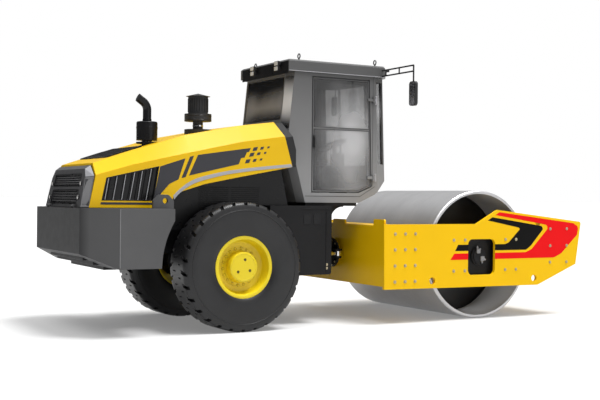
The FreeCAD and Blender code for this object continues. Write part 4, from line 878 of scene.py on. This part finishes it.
def lamp(bm_case, bm_lens, y, z):
    """Work lamp on the roof's rear: tapered case with a bezel and a ribbed lens."""
    plate(bm_case, [(-0.881, z), (-0.863, z), (-0.8353, z + 0.014), (-0.8353, z + 0.046), (-0.863, z + 0.060),
                    (-0.881, z + 0.060)], "xz", y, y + 0.100)
    plate(bm_lens, [(y + 0.006, z + 0.006, 0.008), (y + 0.094, z + 0.006, 0.008), (y + 0.094, z + 0.054, 0.008),
                    (y + 0.006, z + 0.054, 0.008)], "yz", -0.884, -0.8805)
    for i in range(1, 6):
        yy = y + 0.006 + 0.088 * i / 6
        plate(bm_lens, [(yy - 0.0012, z + 0.009), (yy + 0.0012, z + 0.009), (yy + 0.0012, z + 0.051),
                        (yy - 0.0012, z + 0.051)], "yz", -0.8852, -0.8836)


def work_lamps():
    cases, lenses = bmesh.new(), bmesh.new()
    for y in (-0.470, 0.200):
        for z in (3.176, 3.240):
            lamp(cases, lenses, y, z)
    case = piece("work_lamp_cases", cases, PLASTIC, "rear_frame", bevel=0.002)
    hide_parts("work_lamps")
    piece("work_lamp_lenses", lenses, LENS, "rear_frame", smooth=30)


work_lamps()


def mirror_faces():
    bm = bmesh.new()
    y, top, low = 1.375, 3.050, 2.745
    plate(bm, [(y - 0.058, low + 0.010, 0.034), (y + 0.058, low + 0.010, 0.034), (y + 0.058, top - 0.010, 0.034),
               (y - 0.058, top - 0.010, 0.034)], "yz", 0.5385, 0.5402)
    piece("mirror_faces", both(bm), MIRROR, "rear_frame", smooth=30)
    clamps = bmesh.new()
    for z in (2.985, 2.835):
        lathe(clamps, [(0, 0), (0.017, 0), (0.017, 0.024), (0, 0.024)], (0.560, -y, z), (1, 0, 0), 20)
    piece("mirror_clamps", both(clamps), PLASTIC, "rear_frame", smooth=30)


mirror_faces()


# Hood

def cover_x(z, depth=0.0):
    """Rear cover's slanted rear face at height z."""
    return -3.481 + 0.101 * (z - 1.447) / 0.508 + depth


def rear_cover():
    """Lighter grey sheets on the rear cover's corner facets and upper bevels, as painted light; its grilles' mesh and
    frames, and the lamps' bezels.
    """
    strips, bevels = bmesh.new(), bmesh.new()
    a, b = (-3.4163, -0.800, 1.447), (-3.3565, -0.800, 1.800)
    c, d = (-3.4128, -0.650, 1.790), (-3.4810, -0.693, 1.447)
    e, f = (-3.3354, -0.600, 1.925), (-3.3939, -0.575, 1.885)
    # Painted light: lighter grey sheets over the cover's facets, lit copies of the cover's grey.
    skin(strips, (a, b, c, d), 0.0012)
    skin(bevels, (b, e, f, c), 0.0012)
    piece("rear_cover_painted_light_strips", both(strips), STRIP_GREY, "hood")
    piece("rear_cover_painted_light_bevels", both(bevels), LIGHT_GREY, "hood")
    mesh, frames = bmesh.new(), bmesh.new()
    for z0, z1 in ((1.490, 1.640), (1.690, 1.820)):
        for depth, bm, step, thick in ((0.016, mesh, 0.0125, 0.0016),):
            count = int(0.99 / step)
            for i in range(count):
                y = -0.495 + 0.99 * (i + 0.5) / count
                x0, x1 = cover_x(z0, depth), cover_x(z1, depth)
                plate(bm, [(x0, z0), (x0 + 0.003, z0), (x1 + 0.003, z1), (x1, z1)], "xz", y - thick, y + thick)
            rows = int((z1 - z0) / step)
            for i in range(rows):
                z = z0 + (z1 - z0) * (i + 0.5) / rows
                x = cover_x(z, depth - 0.001)
                block(bm, (x, -0.4975, z - thick), (x + 0.004, 0.4975, z + thick))
        outline = [(-0.512, z0 - 0.012, 0.02), (0.512, z0 - 0.012, 0.02), (0.512, z1 + 0.012, 0.02),
                   (-0.512, z1 + 0.012, 0.02)]
        strip = bmesh.new()
        frame_strip(strip, outline, "yz", 0.0, 0.006, 0.014)
        for vert in strip.verts:
            vert.co.x = cover_x(vert.co.z, -0.0025 + vert.co.x)
        join(frames, strip)
    piece("rear_grille_mesh", mesh, BLACK, "hood")
    piece("rear_grille_frames", frames, BLACK, "hood", smooth=30)
    rings, glass = bmesh.new(), bmesh.new()
    for z in (1.560, 1.720):
        for y in (-0.560, 0.560):
            x = cover_x(z) - 0.014
            lathe(rings, [(0.0235, 0.004), (0.0235, -0.0015), (0.0275, -0.003), (0.031, 0.000), (0.031, 0.012)],
                  (x, y, z), (1, 0, 0), 32)
            lathe(glass, [(0.0, -0.004), (0.010, -0.0035), (0.018, -0.002), (0.0234, 0.0005), (0.0234, 0.004)],
                  (x, y, z), (1, 0, 0), 32)
    piece("tail_lamp_rings", rings, PLASTIC, "hood", smooth=40)
    piece("tail_lamp_glasses", glass, LENS, "hood", smooth=40)


rear_cover()


def vent_trim():
    """Painted highlights on the side vents' slat edges, and the dark frame of the side vents."""
    slat_highlights, frame_bm = bmesh.new(), bmesh.new()
    rows = ((-3.2345, -3.1925, 1.780), (-3.1397, -3.0920, 1.803), (-3.0384, -2.9905, 1.827),
            (-2.9420, -2.8830, 1.862), (-2.8448, -2.7910, 1.885), (-2.7468, -2.6810, 1.910))
    # Painted highlights: thin light grey strips along the slat edges.
    for low_x, high_x, high_z in rows:
        plate(slat_highlights, [(low_x, 1.536), (low_x + 0.007, 1.536), (high_x + 0.007, high_z), (high_x, high_z)], "xz",
              -HOOD_Y + 0.001, -HOOD_Y + 0.0085)
    outline = [(-3.270, 1.527), (-3.215, 1.783), (-2.586, 1.927), (-2.653, 1.526)]
    frame_strip(frame_bm, outline, "xz", -HOOD_Y - 0.001, -HOOD_Y + 0.006, 0.011)
    piece("vent_slat_painted_highlights", both(slat_highlights), LIGHT_GREY, "hood")
    piece("vent_frames", both(frame_bm), BLACK, "hood")


vent_trim()


def weight_details():
    """Painted highlights along the counterweight's corner edges, as thin light grey rods, and the stepped plates under
    its slanted floor.
    """
    edge_highlights = bmesh.new()
    # Painted highlights: light grey rods on the counterweight's corners.
    for x, y in ((-3.541, -0.863), (-3.193, -1.200)):
        tube(edge_highlights, [(x + 0.005, y + 0.003, 0.955 if x < -3.5 else 0.790), (x + 0.005, y + 0.003, 1.436)], 0.0045, 8)
    piece("counterweight_edge_highlights", both(edge_highlights), STRIP_GREY, "rear_frame", smooth=60)
    steps = bmesh.new()
    block(steps, (-3.430, -0.640, 0.850), (-3.240, 0.640, 0.905))
    block(steps, (-3.330, -0.700, 0.800), (-3.060, 0.700, 0.860))
    block(steps, (-3.180, -0.620, 0.735), (-2.900, 0.620, 0.800))
    piece("counterweight_under_plates", steps, CHASSIS, "rear_frame", bevel=0.006)


weight_details()


# Seat and cab interior

def padded(name, corners, cap, body, slot):
    """Upholstered pad: a closed form between eight corners, blown up as cloth, its movement limited to cap."""
    bm = bmesh.new()
    bmesh.ops.create_cube(bm, size=2.0)
    for vert in bm.verts:
        a, b, c = vert.co
        vert.co = corners(a, b, c)
    bmesh.ops.bevel(bm, geom=list(bm.edges), offset=0.016, segments=3, affect="EDGES", profile=0.6)
    obj = piece(name, bm, FABRIC, body)
    remesh = obj.modifiers.new("remesh", "REMESH")
    remesh.mode = "VOXEL"
    remesh.voxel_size = 0.006
    apply_modifiers(obj)
    start = [v.co.copy() for v in obj.data.vertices]
    cloth = obj.modifiers.new("cloth", "CLOTH")
    cloth.settings.use_pressure = True
    cloth.settings.uniform_pressure_force = 4.0
    cloth.settings.effector_weights.gravity = 0.0
    cloth.settings.quality = 4
    for frame_number in range(1, 13):
        bpy.context.scene.frame_set(frame_number)
    apply_modifiers(obj)
    for vert, before in zip(obj.data.vertices, start):
        move = vert.co - before
        if move.length > cap:
            vert.co = before + move * (cap / move.length)
    bpy.context.scene.frame_set(1)
    for polygon in obj.data.polygons:
        polygon.use_smooth = True
    return obj


def apply_modifiers(obj):
    graph = bpy.context.evaluated_depsgraph_get()
    baked = bpy.data.meshes.new_from_object(obj.evaluated_get(graph))
    old = obj.data
    obj.modifiers.clear()
    obj.data = baked
    bpy.data.meshes.remove(old)


def seat():
    cushion = padded("seat_cushion", lambda a, b, c: (-0.180 + a * 0.205, b * 0.215, 2.040 + c * 0.030), 0.014,
                     "rear_frame", "seat_fabric")
    padded("seat_back", lambda a, b, c: (-0.4275 + a * 0.034 - c * 0.040, b * 0.205, 2.405 + c * 0.270), 0.014,
           "rear_frame", "seat_fabric")
    padded("seat_headrest", lambda a, b, c: (-0.505 + a * 0.026 - c * 0.006, b * 0.105, 2.850 + c * 0.070), 0.010,
           "rear_frame", "seat_fabric")
    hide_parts("seat")
    frame_bm = bmesh.new()
    plate(frame_bm, [(-0.410, 1.992, 0.02), (0.040, 1.992, 0.02), (0.040, 2.012, 0.008), (-0.410, 2.012, 0.008)], "xz",
          -0.235, 0.235)
    plate(frame_bm, [(-0.330, 1.571), (-0.040, 1.571), (-0.040, 1.600), (-0.330, 1.600)], "xz", -0.180, 0.180)
    for i in range(5):
        z = 1.612 + 0.075 * i
        plate(frame_bm, [(-0.300, z, 0.02), (-0.070, z, 0.02), (-0.070, z + 0.060, 0.02), (-0.300, z + 0.060, 0.02)],
              "xz", -0.155, 0.155)
    for y in (-0.070, 0.070):
        tube(frame_bm, [(-0.486, y, 2.640), (-0.505, y, 2.810)], 0.007, 10)
    plate(frame_bm, [(-0.478, 2.120, 0.02), (-0.462, 2.110, 0.02), (-0.545, 2.690, 0.02), (-0.556, 2.680, 0.02)],
          "xz", -0.200, 0.200)
    for side in (-1, 1):
        y0, y1 = sorted((side * 0.222, side * 0.246))
        plate(frame_bm, [(-0.380, 2.235, 0.012), (-0.120, 2.250, 0.012), (-0.120, 2.282, 0.012),
                         (-0.380, 2.268, 0.012)], "xz", y0, y1)
        plate(frame_bm, [(-0.440, 2.120), (-0.405, 2.120), (-0.360, 2.240), (-0.395, 2.240)], "xz", y0, y1)
    piece("seat_frame", frame_bm, PLASTIC, "rear_frame", smooth=30, bevel=0.003)


seat()


def cab_inside():
    """Floor mat, roof lining, instrument pod, levers and the mirror under the roof."""
    bm = bmesh.new()
    block(bm, (-0.500, -0.560, 1.5705), (0.160, 0.560, 1.5790))
    block(bm, (-0.740, -0.560, 3.098), (0.560, 0.560, 3.1125))
    plate(bm, [(-0.560, 1.571), (-0.440, 1.571), (-0.440, 2.150, 0.03), (-0.650, 2.150)], "xz", -0.560, -0.300)
    plate(bm, [(-0.560, 1.571), (-0.440, 1.571), (-0.440, 2.150, 0.03), (-0.650, 2.150)], "xz", 0.300, 0.560)
    tube(bm, smooth_path([(0.500, 0.400, 3.100), (0.500, 0.400, 3.040), (0.490, 0.400, 2.985)], 4), 0.007, 8)
    for y in (-0.300, 0.300):
        tube(bm, smooth_path([(-0.080, y, 2.090), (-0.070, y, 2.160), (-0.040, y, 2.220)], 4), 0.008, 8)
    piece("cab_fittings", bm, PLASTIC, "rear_frame", smooth=30, bevel=0.003)
    face = bmesh.new()
    plate(face, [(0.325, 2.725, 0.03), (0.475, 2.725, 0.03), (0.475, 2.990, 0.03), (0.325, 2.990, 0.03)], "yz",
          0.478, 0.492)
    piece("cab_inner_mirror", face, CAB_GREY, "rear_frame", smooth=30, bevel=0.003)


cab_inside()


# Joint, drum motors and tanks

def motor_fittings():
    """Drive motor's flange, valve blocks and ports inside the side plate's opening."""
    metal, dark = bmesh.new(), bmesh.new()
    y = -1.156
    lathe(dark, [(0.0, 0.0), (0.120, 0.0), (0.120, 0.016), (0.095, 0.020), (0.095, 0.034), (0.0, 0.034)],
          (1.790, y, 0.835), (0, -1, 0), 40)
    for i in range(8):
        a = math.radians(45 * i + 20)
        bolt(dark, Vector((1.790 + math.cos(a) * 0.108, y - 0.016, 0.835 + math.sin(a) * 0.108)), (0, -1, 0), 0.008,
             0.010)
    plate(metal, [(1.735, 0.870, 0.01), (1.790, 0.870, 0.01), (1.790, 0.925, 0.01), (1.735, 0.925, 0.01)], "xz",
          y - 0.052, y - 0.030)
    plate(metal, [(1.800, 0.770, 0.01), (1.862, 0.770, 0.01), (1.862, 0.830, 0.01), (1.800, 0.830, 0.01)], "xz",
          y - 0.052, y - 0.030)
    for x, z, angle in ((1.750, 0.930, 100), (1.778, 0.905, 60), (1.818, 0.775, -70), (1.850, 0.795, -20)):
        a = math.radians(angle)
        lathe(metal, [(0, 0), (0.015, 0), (0.015, 0.020), (0.011, 0.024), (0.011, 0.038), (0, 0.038)],
              (x, y - 0.041, z), (math.cos(a), 0, math.sin(a)), 6)
    piece("motor_housings", both(dark), CHASSIS, "front_frame", smooth=35)
    piece("motor_ports", both(metal), STRIP_GREY, "front_frame", smooth=30, bevel=0.002)


motor_fittings()


def hitch_fittings():
    """Flange bolts of the swivel bearing, its seal ring and the caps on the steering pins."""
    bolts, rings = bmesh.new(), bmesh.new()
    x = 0.200
    for i in range(12):
        a = math.radians(30 * i + 15)
        place = Vector((x, math.cos(a) * 0.168, 0.850 + math.sin(a) * 0.168))
        bolt(bolts, place, (-1, 0, 0), 0.011, 0.012)
    lathe(rings, [(0.181, 0.0), (0.194, 0.002), (0.194, 0.030), (0.181, 0.034)], (x + 0.001, 0, 0.850), (1, 0, 0), 64)
    for z in (1.112, 0.588):
        side = 1 if z > 0.85 else -1
        lathe(rings, [(0, 0), (0.062, 0), (0.062, 0.010), (0.050, 0.016), (0, 0.016)], (-0.060, 0, z), (0, 0, side),
              40)
        for i in range(4):
            a = math.radians(90 * i + 45)
            bolt(bolts, Vector((-0.060 + math.cos(a) * 0.040, math.sin(a) * 0.040, z + side * 0.014)),
                 (0, 0, side), 0.007, 0.006)
    piece("swivel_bolts", bolts, ZINC, "hitch", smooth=30)
    piece("swivel_seal", rings, SEAL, "hitch", smooth=40)


hitch_fittings()


def tank_details():
    """Bolts, seam, upper edge and cover plates of the hydraulic tanks."""
    dark, light = bmesh.new(), bmesh.new()
    y = -0.800
    for x, z in ((-0.330, 0.700), (-0.330, 0.745)):
        bolt(light, Vector((x, y, z)), (0, -1, 0), 0.011, 0.010)
    tube(dark, [(-0.345, y - 0.001, 0.655), (-0.345, y - 0.001, 1.440)], 0.004, 6)
    plate(dark, [(-0.700, 1.445), (-0.275, 1.445), (-0.275, 1.452), (-0.700, 1.452)], "xz", y - 0.006, y)
    for x in (-0.480, -0.620):
        plate(dark, [(x - 0.050, 1.250, 0.01), (x + 0.050, 1.250, 0.01), (x + 0.050, 1.380, 0.01),
                     (x - 0.050, 1.380, 0.01)], "xz", y - 0.004, y)
    piece("tank_fittings", both(dark), BLACK, "rear_frame", smooth=40)
    piece("tank_bolts", both(light), ZINC, "rear_frame", smooth=30)


tank_details()


def panel_louvres():
    """Fine pressed louvres on the engine's side panels."""
    bm = bmesh.new()
    y = -0.622
    for i in range(28):
        z = 1.265 + 0.024 * i
        left = -2.020 + max(0.0, (z - 1.70) * 0.55)
        for x0, x1 in ((left, -1.620), (-1.590, -1.200)):
            if x1 > x0 + 0.05 and z < 1.720:
                tube(bm, [(x0, y - 0.0015, z), (x1, y - 0.0015, z)], 0.0035, 6)
    piece("engine_panel_ribs", both(bm), CHASSIS, "rear_frame", smooth=60)


panel_louvres()


def stack_details():
    """Bands on the silencer, the tail pipe's lip, and the pre-cleaner's rings, fins and clamp."""
    bm, shine = bmesh.new(), bmesh.new()
    x, y = -2.550, -0.300
    for z in (2.215, 2.395):
        lathe(bm, [(0.125, -0.010), (0.1275, -0.010), (0.1275, 0.010), (0.125, 0.010)], (x, y, z), (0, 0, 1), 48)
    lathe(bm, [(0.050, -0.012), (0.054, -0.012), (0.054, 0.012), (0.050, 0.012)], (x, y, 2.486), (0, 0, 1), 32)
    x = -1.890
    for z in (2.515, 2.565):
        lathe(bm, [(0.165, -0.004), (0.1675, 0.0), (0.165, 0.004)], (x, y, z), (0, 0, 1), 56)
    for i in range(24):
        a = math.radians(15 * i)
        place = Vector((x + math.cos(a) * 0.1225, y + math.sin(a) * 0.1225, 2.615))
        tube(bm, [place, place + Vector((0, 0, 0.160))], 0.004, 6)
    lathe(shine, [(0.0622, -0.009), (0.0650, -0.009), (0.0650, 0.009), (0.0622, 0.009)], (x, y, 2.445), (0, 0, 1), 40)
    piece("stack_bands", bm, BLACK, "hood", smooth=40)
    piece("cleaner_clamp", shine, CHROME, "hood", smooth=40)


stack_details()


# Floor, light and camera

def stage_material():
    """White floor that keeps shadows; part of its white is seen only by the camera and by reflections."""
    mat, tree, bsdf = node_material("studio_floor")
    tree.nodes.remove(bsdf)
    diffuse = add(tree, "ShaderNodeBsdfDiffuse")
    diffuse.inputs["Color"].default_value = (0.58, 0.58, 0.58, 1)
    emission = add(tree, "ShaderNodeEmission")
    emission.inputs["Color"].default_value = (1, 1, 1, 1)
    path = add(tree, "ShaderNodeLightPath")
    seen = add(tree, "ShaderNodeMath", operation="MAXIMUM")
    tree.links.new(path.outputs["Is Camera Ray"], seen.inputs[0])
    tree.links.new(path.outputs["Is Glossy Ray"], seen.inputs[1])
    more = add(tree, "ShaderNodeMath", operation="MAXIMUM")
    tree.links.new(seen.outputs[0], more.inputs[0])
    tree.links.new(path.outputs["Is Transmission Ray"], more.inputs[1])
    strength = add(tree, "ShaderNodeMath", operation="MULTIPLY")
    strength.inputs[1].default_value = 0.20
    tree.links.new(more.outputs[0], strength.inputs[0])
    tree.links.new(strength.outputs[0], emission.inputs["Strength"])
    total = add(tree, "ShaderNodeAddShader")
    tree.links.new(diffuse.outputs[0], total.inputs[0])
    tree.links.new(emission.outputs[0], total.inputs[1])
    tree.links.new(total.outputs[0], tree.nodes["Material Output"].inputs["Surface"])
    return mat


def studio():
    bm = bmesh.new()
    bmesh.ops.create_grid(bm, x_segments=2, y_segments=2, size=400)
    mesh = bpy.data.meshes.new("studio_floor")
    bm.to_mesh(mesh)
    bm.free()
    floor = bpy.data.objects.new("studio_floor", mesh)
    bpy.context.scene.collection.objects.link(floor)
    mesh.materials.append(stage_material())

    world = bpy.data.worlds.new("studio_world")
    bpy.context.scene.world = world
    world.use_nodes = True
    tree = world.node_tree
    background = tree.nodes["Background"]
    background.inputs["Color"].default_value = (1, 1, 1, 1)
    source = add(tree, "ShaderNodeTexCoord")
    parts = add(tree, "ShaderNodeSeparateXYZ")
    tree.links.new(source.outputs["Generated"], parts.inputs[0])
    overhead = ramp(tree, parts.outputs["Z"], 0.03, 1.10, 0.15, 0.95)
    front = ramp(tree, parts.outputs["X"], 0.0, 0.12, 0.0, 0.9)
    behind = add(tree, "ShaderNodeMath", operation="MULTIPLY")
    tree.links.new(overhead, behind.inputs[0])
    tree.links.new(ramp(tree, parts.outputs["X"], 0.25, 1.0, -0.8, 0.1), behind.inputs[1])
    dome = add(tree, "ShaderNodeMath", operation="ADD")
    tree.links.new(behind.outputs[0], dome.inputs[0])
    tree.links.new(front, dome.inputs[1])
    path = add(tree, "ShaderNodeLightPath")
    seen = add(tree, "ShaderNodeMath", operation="MAXIMUM")
    tree.links.new(path.outputs["Is Camera Ray"], seen.inputs[0])
    tree.links.new(path.outputs["Is Transmission Ray"], seen.inputs[1])
    strength = add(tree, "ShaderNodeMix", data_type="FLOAT")
    tree.links.new(seen.outputs[0], strength.inputs["Factor"])
    tree.links.new(dome.outputs[0], strength.inputs["A"])
    strength.inputs["B"].default_value = 1.0
    tree.links.new(strength.outputs["Result"], background.inputs["Strength"])

    for name, energy, spread, direction in (
        ("key_from_front", 3.0, 22, (-0.25, 0.27, -1.0)),
        ("second_key", 0.9, 30, (0.35, 0.24, -1.0)),
        ("side_fill", 0.25, 30, (-0.45, 1.0, -0.15)),
    ):
        sun = bpy.data.lights.new(name, "SUN")
        sun.energy = energy
        sun.angle = math.radians(spread)
        light = bpy.data.objects.new(name, sun)
        bpy.context.scene.collection.objects.link(light)
        light.rotation_euler = Vector(direction).to_track_quat("-Z", "Y").to_euler()


def camera():
    yaw, pitch, roll = math.radians(60.63), math.radians(-0.14), 0.0105
    forward = Vector((math.cos(yaw) * math.cos(pitch), math.sin(yaw) * math.cos(pitch), math.sin(pitch)))
    right = Vector((math.sin(yaw), -math.cos(yaw), 0))
    up = right.cross(forward)
    tilted_right = right * math.cos(roll) + up * math.sin(roll)
    tilted_up = up * math.cos(roll) - right * math.sin(roll)
    data = bpy.data.cameras.new("photo_view")
    data.lens = 62.57
    data.sensor_width = 36.0
    data.clip_end = 1000.0
    cam = bpy.data.objects.new("photo_view", data)
    bpy.context.scene.collection.objects.link(cam)
    turn = Matrix((tilted_right, tilted_up, -forward)).transposed().to_4x4()
    cam.matrix_world = Matrix.Translation((-7.0538, -12.0441, 1.584)) @ turn
    bpy.context.scene.camera = cam


studio()
camera()
bpy.context.scene.view_settings.view_transform = "Standard"
